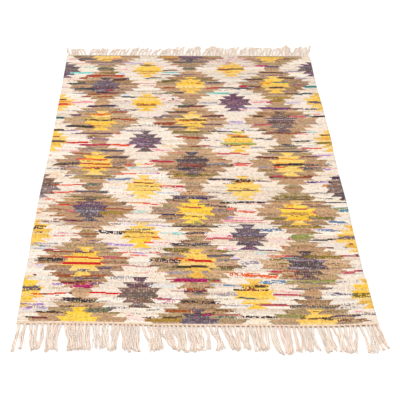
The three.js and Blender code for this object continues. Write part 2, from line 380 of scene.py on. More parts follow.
def lot_list(kind, seed):
    """A style for every row of a block, where each lot of yarn lasts a few rows."""
    r = np.random.default_rng(seed)
    lots = LOTS[kind]
    weights = np.array([l[3] for l in lots], float)
    weights /= weights.sum()
    out = []
    while len(out) < ROWS:
        a, b, q, _ = lots[r.choice(len(lots), p=weights)]
        lift = 1 + r.normal() * (0.008 if kind == "cream" else 0.05 if q > 1 else 0.022)
        warm = r.normal() * (2.2 if kind != "cream" else 1.0)
        a = np.clip(np.array(a) * lift + [warm, 0, -warm], 0, 255)
        b = np.clip(np.array(b) * lift + [warm, 0, -warm], 0, 255)
        out += [style(a, b, q)] * int(r.choice([1, 2, 2, 2, 3, 4, 4, 6]))
    return out[:ROWS]


def lay(row, x0, x1, number, kind):
    m0, m1 = (int(np.clip(round(warp_at(x)), 0, WARPS)) for x in (x0, x1))
    grid[row, m0:m1] = number
    block[row, m0:m1] = kind


def pattern():
    lots = {}

    def lot(kind, column, step, row):
        key = (kind, column, step)
        if key not in lots:
            lots[key] = lot_list(kind, abs(hash_of(kind, column, step)))
        return lots[key][row]

    def hash_of(kind, column, step):
        return sum(ord(c) for c in kind) * 7919 + (column + 700) * 13 + step * 101

    jag = {}

    def jitter(key, size):
        if key not in jag:
            jag[key] = float(rng.normal()) * size
        return jag[key]

    for i in range(BANDS * PER_BAND):
        row = FAR_ROWS + i
        v = (i + 0.5) / PER_BAND
        pair = i // 2
        # cream ground, one lot for each diamond column
        for cx in (-600, -200, 200, 600):
            step = int(v // 12)
            lay(row, cx - 200, cx + 200, lot("cream", cx, step, row), 1)
        # brown diamonds
        step = int((v + 6) // 12)
        d = abs(v - 12 * step)
        j = min(int(d), 5)
        f = d - j
        for cx in (-400, 0, 400):
            c = cx + DRIFT[cx]
            number = lot("brown", cx, step, row)
            ends = []
            for side in (-1, 1):
                slant = SLANT[j] * (1 + jitter(("slant", cx, side, int(v)), 0.25))
                half = REPEAT * (TIPS[j] - slant * (1 - f))
                half += jitter(("band", cx, side, int(v)), 2.6)
                half += jitter(("pair", cx, side, pair), 1.2)
                half += jitter(("row", cx, side, i), 0.8)
                if f > 0.8:
                    half += 1.0 + abs(jitter(("tip", cx, side, int(v)), 6.0))
                elif f < 0.17:
                    half -= abs(jitter(("root", cx, side, int(v)), 4.0))
                ends.append(c + side * half)
            lay(row, ends[0], ends[1], number, 2)
        # motifs
        for centre, columns in (
            (12 * step, (-400, 0, 400)),
            (12 * int(v // 12) + 6, (-600, -200, 200, 600)),
        ):
            place = v - (centre - 3)
            if not 0 <= place < 6:
                continue
            b = int(place)
            t = place - b
            wide = REPEAT * (MOTIF[b][0] * (1 - t) + MOTIF[b][1] * t)
            at_tip = t < 0.17 if b < 3 else t > 0.83
            for cx in columns:
                number = centre // 12 if cx in (-400, 0, 400) else (centre - 6) // 12
                tones = MOTIF_TONES.get((cx, number), "yyyyyy")
                kind = TONES[tones[b % len(tones)]]
                ends = []
                for side in (-1, 1):
                    half = wide / 2 + jitter(("m", cx, side, centre, b), 2.2)
                    half += jitter(("mp", cx, side, centre, pair), 1.0)
                    half += jitter(("mr", cx, side, centre, i), 0.6)
                    if at_tip:
                        half += abs(jitter(("mt", cx, side, centre, b), 3.5))
                    ends.append(cx + DRIFT[cx] + side * half)
                bright = kind in ("yellow", "pale_yellow", "sun")
                lay(row, ends[0], ends[1], lot(kind, cx, centre, row), 3 if bright else 4)
    heading, far_heading_painted_shade = lot_list("heading", 5), lot_list("far_heading_painted_shade", 6)
    for row in list(range(FAR_ROWS)) + list(range(ROWS - NEAR_ROWS, ROWS)):
        grid[row, :] = heading[row]
        if row < FAR_ROWS:
            # painted shade: the far heading is cream yarn, painted dark olive-grey wherever the cloth below it is not
            # cream, for the shaded line along the far edge
            grid[row, block[FAR_ROWS + 1] > 1] = far_heading_painted_shade[row]
        block[row, :] = 5


pattern()

# -------------------------------------------------------------------- streaks

# Odd lengths of scrap yarn: y of the middle, x from and to, colour, and then
# rows (2 unless said) and the share of ground showing through (0.1 unless said).
D, S = 0.46, 0.32  # dashed, speckled
STREAKS = [
    # far end
    (903, 0, 165, "greygreen", 1, S), (903, 240, 330, "greygreen", 1, S),
    (886, -572, -470, "olive", 2), (876, -560, -470, "charcoal", 1, S), (866, -545, -490, "mauve", 2),
    (856, -545, -460, "purpleblack", 2), (866, -375, -350, "coral", 2), (850, -382, -328, "darkgrey", 2),
    (836, -85, -30, "plum", 2), (828, -500, -330, "purplegrey", 2), (826, -330, -230, "lilac", 2, S),
    (888, -140, -60, "orange", 2, 0.6), (876, -130, -70, "rust", 2, S), (862, -120, -60, "brown", 2, S),
    (841, -80, 85, "purplegrey", 2, S), (845, 90, 300, "palepink", 2, S), (834, 185, 212, "darkgrey", 1, D),
    (825, 155, 190, "lilac", 2), (870, 335, 350, "mauve", 2), (870, 425, 450, "mauve", 2),
    (878, 450, 502, "darkbrown", 2, S), (888, 452, 560, "olive", 2, D), (808, 330, 368, "magenta", 2, S),
    (806, 368, 438, "purplegrey", 2, S), (832, 528, 556, "magenta", 1), (832, 518, 535, "teal", 1),
    (778, -510, -455, "paleteal", 2, S), (770, -447, -365, "greygreen", 4, 0.2), (772, 130, 262, "black", 2, 0.05),
    (775, 130, 178, "orangered", 1), (757, -130, -60, "brown", 2, S), (748, 343, 472, "darkbrown", 2, 0.2),
    (760, 470, 532, "lilacgrey", 2, S),(738, -130, -60, "turquoise", 2), (727, -567, -463, "turquoise", 2),
    (722, -340, -318, "paleblue", 2), (735, -377, -343, "olive", 2), (716, -80, 5, "purplegrey", 2, S),
    (706, -490, -320, "brick", 2), (696, -492, -428, "brick", 2, 0.05), (696, -362, -318, "orangered", 2),
    (700, 423, 512, "darkbrown", 2), (698, 512, 562, "lilacgrey", 2, S), (680, -520, -488, "rust", 2),
    (682, -215, -140, "purplegrey", 2, S), (682, 260, 352, "darkbrown", 2), (662, -367, -328, "olive", 2),
    (660, -135, -70, "darkbrown", 2, S), (657, 390, 472, "greygreen", 2, 0.2), (651, 335, 387, "orange", 2, S),
    (645, 68, 132, "lilacgrey", 2, S), (636, 480, 562, "mauve", 2, S), (634, 500, 540, "crimson", 1, S),
    (628, -577, -488, "darkteal", 2), (625, 575, 602, "turquoise", 2), (612, 545, 582, "paleblue", 2),
    (620, 235, 272, "crimson", 2), (619, 272, 332, "mauve", 2, S), (608, 370, 447, "darkbrown", 2),
    (600, 372, 440, "orange", 1, S), (604, 130, 275, "charcoal", 2), (597, -142, -68, "rust", 2),
    (596, 75, 140, "crimson", 2),
    (860, -537, -456, "darkgrey", 3, 0.2), (842, -540, -508, "maroon", 2, S), (814, -577, -473, "rose", 1, S),
    (782, -345, -243, "olive", 1, 0.7), (728, -442, -366, "olive", 2, S), (668, -372, -292, "darkbrown", 4, S),
    (579, -546, -470, "black", 2, 0.1), (591, -596, -564, "pink", 1, 0.2),
    (540, -545, -490, "purplegrey", 1, S), (549, -440, -384, "black", 2, 0.15),
    (549, -384, -334, "darkgrey", 2, S), (433, -463, -346, "plum", 2, 0.05),
    (399, -326, -250, "darkgrey", 2, D), (484, -599, -577, "darkbrown", 2, 0.1),
    (467, -598, -547, "orange", 2, 0.1), (449, -596, -559, "orangered", 2, 0.15),
    (806, -239, -170, "darkbrown", 2, 0.4), (796, -224, -195, "black", 1, 0.3),
    (681, -211, -116, "charcoal", 1, 0.15), (617, -238, -163, "mauve", 1, S),
    (546, -183, -120, "darkgrey", 1, S), (499, -134, -115, "pink", 2, S), (500, -87, -76, "plum", 2, 0.2),
    (485, -111, -37, "pink", 1, S), (442, -242, -161, "orangered", 1, 0.15),
    (435, -58, 17, "darkbrown", 2, 0.1), (841, -82, -18, "charcoal", 2, 0.2),
    (776, -33, 22, "greygreen", 4, 0.2), (739, -145, -59, "turquoise", 1, 0.15),
    (652, -163, -83, "olive", 2, S), (879, -142, -58, "gold", 2, 0.5), (694, -490, -435, "brick", 3, 0.1),
    (703, -361, -317, "brick", 2, 0.1), (677, -524, -495, "rust", 2, S), (727, -576, -471, "turquoise", 2, 0.2),
    (882, 61, 166, "rust", 2, S), (845, 100, 199, "rose", 1, S), (843, 1, 85, "purplegrey", 2, 0.2),
    (835, 178, 213, "rust", 2, D), (788, 54, 132, "lilacgrey", 1, 0.2), (800, 260, 344, "pink", 1, S),
    (813, 323, 374, "magenta", 3, 0.25), (807, 369, 436, "indigo", 3, 0.3), (738, 271, 348, "lilacgrey", 1, S),
    (645, 79, 155, "charcoal", 2, S), (621, 234, 273, "crimson", 3, 0.1), (620, 273, 339, "maroon", 2, S),
    (618, 538, 597, "teal", 3, 0.15), (552, 80, 176, "turquoise", 3, 0.2), (491, 365, 430, "gold", 4, S),
    (468, 31, 119, "lilacgrey", 1, S), (483, 536, 591, "purplegrey", 3, S), (431, 313, 444, "purple", 3, 0.1),
    (764, 141, 207, "rust", 1, S), (613, 376, 443, "darkbrown", 2, D),
    # second row of diamonds
    (580, -547, -428, "darkteal", 2), (570, -387, -362, "crimson", 2), (553, 490, 572, "darkteal", 2),
    (553, 438, 490, "brown", 2), (555, -75, -25, "purpleblack", 2), (549, 80, 118, "paleteal", 2),
    (549, 138, 178, "teal", 1), (545, -175, -90, "greygreen", 2, S), (538, -522, -488, "lilacgrey", 2),
    (535, -480, -338, "rust", 2, 0.2), (530, -315, -288, "paleblue", 2), (518, 333, 472, "gold", 3, S),
    (514, -322, -252, "darkteal", 2), (512, -500, -458, "rust", 2), (512, -432, -368, "rust", 2),
    (487, -602, -568, "darkbrown", 2), (475, -602, -560, "orange", 1), (443, -606, -552, "orangered", 2),
    (478, 560, 602, "purplegrey", 2, S), (477, 343, 372, "magenta", 2), (477, 280, 343, "pink", 2),
    (474, 438, 502, "lilac", 2, S), (470, 40, 122, "lilacgrey", 2, S), (462, -547, -448, "pink", 2),
    (445, -250, -160, "rust", 2, S), (440, -62, 12, "darkteal", 2, S), (437, -12, 67, "maroon", 2),
    (432, -462, -338, "purpleblack", 2), (424, -392, -343, "teal", 1, S), (431, 308, 457, "purple", 2, 0.05),
    (427, 455, 577, "charcoal", 2, D), (428, 253, 302, "lilac", 2), (428, 238, 255, "blue", 2),
    (418, 233, 252, "pink", 2), (400, -330, -288, "lilacgrey", 2, S), (390, -117, -23, "darkbrown", 2),
    (387, -367, -288, "rust", 2), (366, -457, -358, "orange", 2), (364, -425, -388, "orangered", 2),
    (358, -537, -488, "plum", 2), (362, -232, -138, "palepink", 2), (355, -137, -38, "purplegrey", 3, S),
    (346, -170, -128, "purplegrey", 2, S), (359, 43, 142, "maroon", 2), (363, 438, 507, "rose", 2),
    (366, 507, 545, "grey", 2), (363, 543, 602, "black", 2), (360, 273, 332, "darkbrown", 2),
    (335, -602, -563, "darkteal", 2), (326, -602, -580, "turquoise", 1), (328, -322, -243, "brick", 2, 0.05),
    (330, -362, -322, "maroon", 2), (322, -472, -343, "darkbrown", 2, S), (322, -70, 5, "orange", 2, S),
    (320, -12, 67, "orange", 2, D), (312, 163, 232, "lilac", 3, S), (300, -175, -68, "rust", 2),
    (296, 43, 132, "purpleblack", 2), (295, 268, 357, "rose", 2),
    # third row
    (268, -552, -428, "black", 4, 0.05), (275, -452, -403, "orangered", 1), (277, -262, -138, "charcoal", 2, D),
    (270, -142, -18, "charcoal", 2, 0.2), (240, -332, -218, "lilacgrey", 2, S), (238, -602, -580, "black", 2),
    (238, -582, -553, "crimson", 2), (238, -540, -518, "violet", 2), (238, -518, -493, "lilac", 2),
    (228, -77, 37, "olive", 2, S), (232, 163, 222, "green", 2, S), (235, 73, 172, "black", 2, 0.2),
    (246, 113, 167, "lilac", 1, S), (245, 223, 327, "black", 2, D), (235, 488, 542, "paleteal", 2, S),
    (227, 308, 400, "maroon", 2, 0.2), (226, 400, 502, "rust", 2, 0.2), (214, -507, -343, "plum", 2, 0.2),
    (213, -343, -308, "rose", 2, S), (215, 558, 602, "brown", 2, S), (209, 153, 247, "orange", 2),
    (197, 163, 242, "maroon", 2), (195, -77, -18, "rust", 2), (190, -12, 72, "maroon", 2, S),
    (190, -602, -570, "rust", 2), (182, 268, 347, "charcoal", 2, D), (175, -452, -363, "mauve", 2),
    (167, 443, 522, "darkgrey", 2, D), (153, -602, -548, "darkbrown", 2), (155, 528, 602, "olive", 2, 0.2),
    (145, -522, -443, "red", 2, 0.02), (146, -548, -522, "pink", 1), (145, 128, 267, "green", 2, D),
    (128, -477, -348, "crimson", 2, 0.2), (130, -347, -268, "orangered", 2), (124, -12, 34, "maroon", 2),
    (124, 34, 72, "crimson", 2), (128, 338, 462, "charcoal", 1, S), (120, 58, 162, "lilacgrey", 2, D),
    (120, 248, 312, "lilacgrey", 2, S), (118, -62, -43, "blue", 1), (114, 463, 512, "rose", 2),
    (112, 512, 562, "orangered", 2), (86, -382, -283, "darkgrey", 2, 0.35), (91, 318, 492, "black", 2, 0.25),
    (70, 103, 205, "rose", 2), (70, 205, 237, "red", 2), (67, -522, -428, "rust", 2),
    (51, 268, 357, "maroon", 2, 0.2), (51, 448, 537, "maroon", 2, 0.2), (62, 508, 582, "violet", 2, S),
    (50, -602, -588, "red", 1), (41, -372, -273, "black", 2, S), (25, -477, -358, "orangered", 2, 0.05),
    (19, -172, -83, "crimson", 2), (6, 168, 242, "rose", 2),
    # middle
    (-9, -568, -470, "black", 4, 0.28), (-4, -470, -343, "red", 2, 0.28), (-11, -277, -253, "orangered", 2),
    (-10, -237, -213, "yellow", 2), (-6, -207, -168, "coral", 3, S), (-21, -590, -543, "grey", 1, D),
    (-30, -545, -480, "mauve", 2, S), (-29, -497, -453, "lilacgrey", 2, S), (-37, -462, -356, "crimson", 2, 0.28),
    (-43, -602, -523, "charcoal", 2, D), (-30, -352, -278, "brown", 3, 0.2), (-30, -262, -225, "paleteal", 2, S),
    (-42, -150, -58, "purplegrey", 2, S), (-36, -60, 0, "purpleblack", 3, S), (-72, -315, -262, "coral", 2, 0.2),
    (-71, -262, -233, "orangered", 2), (-70, -233, -212, "greygreen", 1, S), (-70, -205, -153, "lilac", 2, S),
    (-70, -155, -133, "rose", 2, S), (-84, -582, -520, "peach", 3, S), (-90, -523, -499, "purple", 2),
    (-92, -442, -318, "olive", 2, S), (-105, -502, -338, "gold", 2, S), (-93, -107, -38, "gold", 3, S),
    (-88, -30, 86, "olive", 2, S), (-98, 12, 86, "gold", 2, S), (-113, -352, -243, "blue", 3, 0.42),
    (-115, -240, -160, "orange", 2, D), (-131, -242, -168, "rust", 2, S), (-138, -352, -298, "pink", 1, D),
    (-149, -547, -443, "orangered", 2, 0.05), (-147, -445, -368, "greygreen", 5, 0.35), (-152, -137, -90, "orangered", 2, 0.1),
    (-157, -95, -38, "crimson", 3, 0.2), (-163, -342, -268, "palegrey", 2, S), (-178, -87, -43, "pink", 2, D),
    (-168, -77, -53, "pink", 1, S), (-192, -467, -343, "purplegrey", 3, 0.2), (-196, -562, -463, "orangered", 2, 0.15),
    (-196, -150, -58, "palegrey", 3, S), (-214, -352, -328, "peach", 2, S), (-222, -502, -318, "olive", 2, 0.25),
    (-222, -532, -500, "gold", 2, S), (-219, -258, -233, "lilac", 2, S), (-221, -82, 82, "purplegrey", 3, S),
    (-229, -82, 60, "navy", 3, 0.3), (-243, -602, -540, "coral", 3, D), (-255, -552, -528, "orange", 2, S),
    (-262, -262, -192, "orange", 2, 0.2), (-266, -197, -133, "orangered", 2, 0.2), (-276, -522, -473, "red", 2, 0.05),
    (-280, -127, -88, "olivegreen", 4, 0.45), (-284, -42, 27, "crimson", 2), (-258, -302, -268, "olive", 2, S),
    (-271, -287, -268, "darkgrey", 2), (-297, -347, -243, "rust", 2, 0.15),
    (-6, 64, 132, "lilacgrey", 3, S), (-6, 130, 166, "darkgrey", 2, S), (-8, 164, 223, "coral", 4, 0.15),
    (0, 223, 242, "red", 2), (-7, 333, 457, "black", 3, 0.12), (-20, 328, 382, "orangered", 2, S),
    (-5, 455, 572, "darkgrey", 3, D), (-19, 438, 533, "purplegrey", 2, S), (-31, 453, 537, "darkgrey", 3, 0.28),
    (-28, 538, 602, "pink", 2, D), (-37, 543, 572, "violet", 2, S), (-24, 273, 332, "lilacgrey", 3, S),
    (-20, -5, 45, "maroon", 3, S), (-90, 308, 326, "maroon", 3), (-86, 323, 367, "crimson", 2),
    (-95, 328, 352, "greygreen", 2), (-93, 352, 425, "rust", 2, 0.2), (-90, 423, 487, "rust", 3, 0.15),
    (-108, 56, 162, "charcoal", 3, 0.2), (-114, 158, 237, "darkbrown", 3, S), (-125, 160, 235, "rust", 3, D),
    (-110, 233, 302, "grey", 2, D), (-122, 453, 506, "purple", 3, S), (-122, 500, 548, "violet", 2, S),
    (-124, 545, 562, "plum", 3), (-133, 118, 166, "charcoal", 1, S), (-180, 130, 262, "purplegrey", 2, D),
    (-195, 58, 152, "grey", 2, D), (-197, 458, 532, "grey", 2, D), (-146, 523, 542, "orange", 2),
    (-215, 328, 482, "olive", 3, S), (-228, 298, 335, "olive", 2, S), (-257, 108, 287, "black", 3, 0.32),
    (-256, 503, 600, "darkgrey", 2, 0.15), (-270, 13, 72, "charcoal", 2, S), (-279, 72, 142, "black", 2, S),
    (-275, 363, 387, "orange", 2), (-291, 356, 432, "crimson", 2, 0.1), (-267, 418, 497, "mauve", 2, D),
    (-279, 448, 542, "brown", 2, S), (-289, 538, 598, "teal", 1, S), (-302, 556, 602, "teal", 4, D),
    (-298, 123, 152, "coral", 2),
    (332, -604, -568, "teal", 2, 0.5), (238, -605, -556, "black", 2, 0.1), (234, -549, -497, "plum", 1, 0.2),
    (298, -172, -78, "rust", 3, S), (327, -62, 65, "darkbrown", 2, D), (174, -269, -137, "mauve", 3, 0.62),
    (143, -510, -447, "red", 2, 0.1), (143, -541, -510, "rose", 1, S), (125, -463, -406, "magenta", 1, 0.3),
    (42, -371, -276, "charcoal", 3, D), (-86, -152, -145, "black", 1, 0.1), (-84, -134, -127, "black", 1, 0.2),
    (-193, -469, -345, "charcoal", 2, D), (-182, -210, -159, "rust", 1, S), (185, -41, 36, "brick", 2, D),
    (195, -78, -35, "rust", 2, S), (78, -85, -41, "rose", 1, S), (-3, -468, -427, "purple", 1, 0.3),
    (-106, -414, -350, "darkbrown", 2, D), (25, -61, 65, "charcoal", 3, 0.3), (-10, -55, 57, "rust", 3, 0.64),
    (315, 167, 231, "violet", 1, 0.3), (292, 162, 223, "lilac", 1, 0.3), (147, 133, 266, "olivegreen", 1, D),
    (139, 370, 434, "charcoal", 2, D), (-4, 338, 469, "black", 3, 0.25), (-16, 333, 363, "orangered", 2, 0.2),
    (-7, 66, 164, "charcoal", 2, D), (-123, 149, 236, "darkbrown", 2, D), (-119, 228, 330, "darkgrey", 1, D),
    (-122, 452, 551, "purple", 1, 0.3), (-151, 528, 596, "rust", 2, 0.6), (-150, 597, 604, "teal", 32, 0.5),
    (-97, 560, 596, "purpleblack", 4, 0.2), (-181, 137, 260, "darkbrown", 1, D),
    (310, 335, 460, "purpleblack", 1, 0.1), (344, 338, 471, "purpleblack", 1, 0.1),
    (-313, -472, -333, "lilacgrey", 2, 0.5), (-284, -469, -340, "purple", 3, 0.5),
    (-244, -454, -365, "charcoal", 2, D),
    (-310, 161, 228, "orangered", 2, 0.15), (-293, 129, 162, "coral", 2, 0.3), (-366, 106, 245, "pink", 1, 0.2),
    (-325, 338, 410, "darkbrown", 1, D), (-568, 39, 135, "charcoal", 2, D), (-566, 412, 533, "gold", 2, 0.4),
    (-564, 534, 594, "maroon", 2, 0.2), (-301, 561, 593, "blue", 2, D), (-290, 538, 594, "green", 1, S),
    # fourth row
    (-303, -605, -580, "orange", 2, S), (-327, -605, -588, "orange", 2, S), (-315, -492, -463, "rose", 3, S),
    (-316, -238, -183, "paleteal", 3, S), (-324, -367, -268, "gold", 5, 0.3), (-331, -137, -43, "navy", 2, 0.12),
    (-323, -66, -48, "rose", 2, S), (-340, -552, -498, "rust", 1, S), (-357, -292, -163, "lilac", 1, D),
    (-369, -492, -428, "maroon", 3, 0.12), (-362, -527, -488, "rust", 2, S), (-376, -582, -478, "mauve", 2, D),
    (-374, -572, -560, "maroon", 2), (-390, -317, -278, "mauve", 2, S), (-391, -282, -223, "lilac", 2, S),
    (-397, -187, -88, "lilac", 2, S), (-408, -606, -563, "black", 4, 0.35), (-374, -117, -63, "orange", 2, D),
    (-405, -92, 92, "charcoal", 2, 0.25), (-408, -442, -373, "purplegrey", 2, S), (-423, -262, -163, "darkgrey", 2, D),
    (-436, -367, -263, "black", 5, 0.4), (-441, -132, -43, "paleteal", 2, S), (-445, -85, -58, "turquoise", 2),
    (-447, -447, -368, "rust", 2, 0.1), (-456, -527, -463, "coral", 2, S), (-456, -475, -440, "orange", 1, S),
    (-443, -43, 37, "charcoal", 3, 0.3), (-465, -242, -160, "rust", 1, S), (-463, -162, -133, "orangered", 2),
    (-462, -262, -243, "brown", 2, S), (-482, -462, -428, "purplegrey", 2, S), (-484, -388, -343, "purplegrey", 3, D),
    (-494, -193, -158, "orangered", 2), (-493, -132, -53, "coral", 1, 0.2), (-502, -332, -233, "violet", 3, 0.25),
    (-498, -592, -498, "lilacgrey", 2, D), (-509, -592, -528, "blue", 2, D), (-519, -600, -540, "palegrey", 2, S),
    (-487, -62, 0, "brown", 3, S), (-505, -92, 62, "charcoal", 4, 0.38), (-534, -122, -28, "olive", 5, S),
    (-539, -547, -448, "rust", 2, 0.05), (-534, -545, -470, "crimson", 1, S), (-541, -442, -418, "purplegrey", 3, S),
    (-548, -432, -363, "charcoal", 2, D), (-549, -287, -223, "coral", 2, 0.2), (-552, -227, -163, "violet", 2, D),
    (-550, -167, -128, "coral", 2, S), (-561, -242, -205, "coral", 2, 0.2), (-562, -205, -178, "pink", 2, S),
    (-572, -477, -343, "red", 2, 0.05), (-575, -343, -288, "rose", 3, 0.15), (-577, -290, -238, "rust", 2, S),
    (-578, -78, -48, "orangered", 2, S), (-587, -45, 62, "red", 3, 0.1), (-588, -572, -473, "black", 5, 0.38),
    (-590, -167, -58, "black", 5, 0.38), (-604, -482, -335, "red", 3, 0.05), (-603, -602, -583, "lilac", 1, S),
    (-309, 158, 232, "coral", 3, 0.25), (-302, 190, 232, "lilac", 1, S), (-326, 338, 432, "darkgrey", 1, 0.2),
    (-312, 458, 474, "rose", 3), (-342, 38, 62, "grey", 1, S), (-344, 113, 147, "lilacgrey", 2, S),
    (-350, 128, 147, "violet", 2), (-343, 443, 543, "olive", 4, S), (-351, 258, 342, "olive", 3, S),
    (-367, 106, 195, "pink", 3, 0.2), (-368, 108, 252, "pink", 1, 0.1), (-364, 195, 247, "rose", 1), (-372, 516, 577, "blue", 3, 0.2),
    (-375, -14, 22, "olivegreen", 4, D), (-403, 303, 492, "gold", 2, 0.3), (-398, 310, 480, "olive", 2, D), (-423, 248, 330, "blue", 4, 0.4),
    (-421, 460, 520, "blue", 4, 0.4), (-423, 518, 552, "lilacgrey", 3, D), (-438, 436, 472, "olive", 2, S),
    (-457, 356, 435, "olivegreen", 7, 0.15), (-450, 38, 132, "palepink", 3, 0.2), (-457, 118, 137, "crimson", 2),
    (-472, 28, 134, "rose", 3, 0.2), (-475, 258, 347, "palepink", 2, S), (-472, 343, 357, "crimson", 2),
    (-475, 433, 532, "black", 2, 0.1), (-464, 530, 600, "purplegrey", 5, S), (-489, 278, 332, "palepink", 2, S),
    (-490, 426, 462, "brown", 1), (-512, 98, 142, "palepink", 2, S), (-511, 306, 342, "coral", 1, S),
    (-520, 488, 512, "maroon", 2), (-519, 548, 566, "grey", 2), (-540, 96, 167, "darkgrey", 1, 0.1),
    (-537, 233, 302, "purplegrey", 2, S), (-536, 38, 112, "olive", 3, S), (-552, 212, 252, "paleteal", 2, S),
    (-567, 33, 137, "purplegrey", 3, 0.05), (-568, 253, 332, "coral", 3, D), (-567, 322, 347, "magenta", 2),
    (-578, 308, 362, "teal", 2, S), (-585, 268, 322, "olive", 2, S), (-567, 398, 532, "olive", 4, S),
    (-566, 528, 562, "crimson", 2, 0.15), (-564, 560, 588, "rose", 2, S), (-562, 586, 602, "maroon", 3),
    (-575, 128, 152, "lilac", 2, S), (-575, 238, 262, "palegrey", 2), (-602, 156, 225, "lilacgrey", 4, S),
    # fifth row
    (-617, -272, -163, "rose", 1, 0.1), (-618, -167, -128, "mauve", 1, S), (-617, -572, -540, "lilac", 2, S),
    (-630, -357, -298, "purplegrey", 3, S), (-626, -67, 42, "darkbrown", 3, 0.12), (-643, -427, -383, "purplegrey", 3, S),
    (-655, -107, -18, "lilacgrey", 3, S), (-656, -524, -478, "rust", 1), (-667, -492, -440, "rust", 3, 0.15),
    (-675, -402, -322, "rust", 2, 0.05), (-665, -577, -563, "darkgrey", 2), (-682, -312, -233, "lilacgrey", 3, D),
    (-684, -597, -518, "palegrey", 2, D), (-692, -92, 42, "magenta", 4, 0.1), (-692, 42, 60, "olive", 3, S),
    (-694, 60, 87, "crimson", 2, S), (-708, -477, -438, "crimson", 3, S), (-706, -440, -425, "mauve", 3),
    (-708, -430, -395, "rust", 3, 0.15), (-706, -398, -372, "rose", 2), (-708, -380, -337, "mauve", 3, 0.2),
    (-713, -502, -468, "violet", 2, S), (-720, -437, -400, "magenta", 3, 0.2), (-722, -402, -366, "magenta", 4, 0.15),
    (-728, -448, -428, "rose", 2, S), (-736, -606, -543, "purplegrey", 5, 0.36), (-716, -167, -73, "palegrey", 4, D),
    (-738, -47, 37, "rust", 3, S), (-746, -107, -42, "rose", 1, 0.1), (-749, -45, 42, "plum", 2, S),
    (-754, -367, -268, "red", 2, 0.02), (-760, -562, -448, "orangered", 2, 0.08), (-760, -530, -520, "darkbrown", 2),
    (-757, -447, -434, "black", 2), (-767, -487, -474, "black", 1), (-784, -467, -343, "black", 5, 0.36),
    (-786, -502, -463, "rust", 1, S), (-784, -157, -98, "rose", 2, 0.05), (-786, -100, -63, "pink", 1, 0.2),
    (-796, -347, -288, "brown", 1, S), (-797, -57, 67, "black", 3, 0.45), (-811, -602, -560, "mauve", 3, 0.5),
    (-810, -565, -518, "violet", 3, 0.42), (-826, -602, -558, "violet", 3, 0.5), (-826, -542, -508, "lilac", 3, S),
    (-824, -302, -238, "grey", 3, D), (-836, -182, -128, "greygreen", 2, D), (-836, -382, -298, "greygreen", 6, S),
    (-842, -117, -18, "rust", 3, 0.25), (-843, -542, -490, "darkbrown", 3, S), (-848, -492, -443, "black", 3, D),
    (-850, -300, -262, "olive", 2, S), (-868, -572, -548, "black", 2, S), (-869, -557, -503, "maroon", 2, 0.1),
    (-862, -242, -222, "pink", 2, S), (-878, -240, -180, "palepink", 4, D), (-874, -180, -58, "darkbrown", 3, 0.5),
    (-884, -180, -58, "gold", 4, 0.15),
    (-622, 82, 177, "brown", 2, S), (-634, 82, 132, "olive", 3, S), (-646, 258, 303, "crimson", 2, 0.08),
    (-645, 303, 372, "rust", 2, S), (-650, 15, 47, "lilacgrey", 2, S), (-663, 103, 292, "flame", 4, 0.52),
    (-645, 578, 602, "plum", 2), (-654, 518, 588, "rose", 3, 0.2), (-698, 308, 400, "olivegreen", 2, S),
    (-697, 400, 492, "olivegreen", 3, 0.2), (-704, 220, 312, "blue", 4, 0.25), (-701, 488, 567, "lilacgrey", 2, D),
    (-717, 50, 152, "blue", 2, D), (-726, 158, 242, "darkbrown", 3, S), (-739, 122, 167, "black", 2, 0.12),
    (-740, 165, 202, "rust", 3, S), (-740, 200, 268, "darkbrown", 2, D), (-735, 328, 477, "purplegrey", 2, S),
    (-762, 43, 132, "lilacgrey", 4, D), (-764, 258, 357, "crimson", 2, 0.12), (-757, 443, 542, "indigo", 2, D),
    (-757, -12, 40, "greygreen", 2, S), (-765, 538, 602, "olive", 6, D), (-773, 363, 437, "purplegrey", 3, D),
    (-778, 138, 202, "greygreen", 2, 0.15), (-782, 228, 243, "green", 1), (-785, 328, 352, "charcoal", 1, S),
    (-814, 83, 187, "lilacgrey", 2, D), (-813, 213, 312, "rose", 3, 0.12), (-817, 308, 492, "darkgrey", 4, 0.42),
    (-810, 488, 542, "grey", 3, D), (-808, 540, 572, "grey", 1, S), (-838, 58, 122, "brown", 2, S),
    (-857, 38, 152, "crimson", 1, 0.15), (-858, -12, 56, "magenta", 2, D), (-866, 58, 142, "teal", 3, 0.45),
    (-866, 138, 267, "black", 3, D), (-865, 263, 362, "olivegreen", 4, 0.2), (-862, 453, 542, "navy", 2, S),
    (-857, 538, 603, "grey", 2, S), (-874, 343, 362, "brown", 2), (-873, 373, 432, "rust", 1, 0.1),
    (-878, 413, 447, "black", 3, D),
    (-703, -477, -375, "maroon", 2, 0.35), (-820, -575, -516, "mauve", 2, 0.6),
    (-875, 373, 451, "darkbrown", 2, 0.35), (-885, 461, 565, "brown", 4, 0.5),
    (-887, 174, 232, "butter", 5, 0.15), (-672, 165, 292, "flame", 3, 0.52),
]


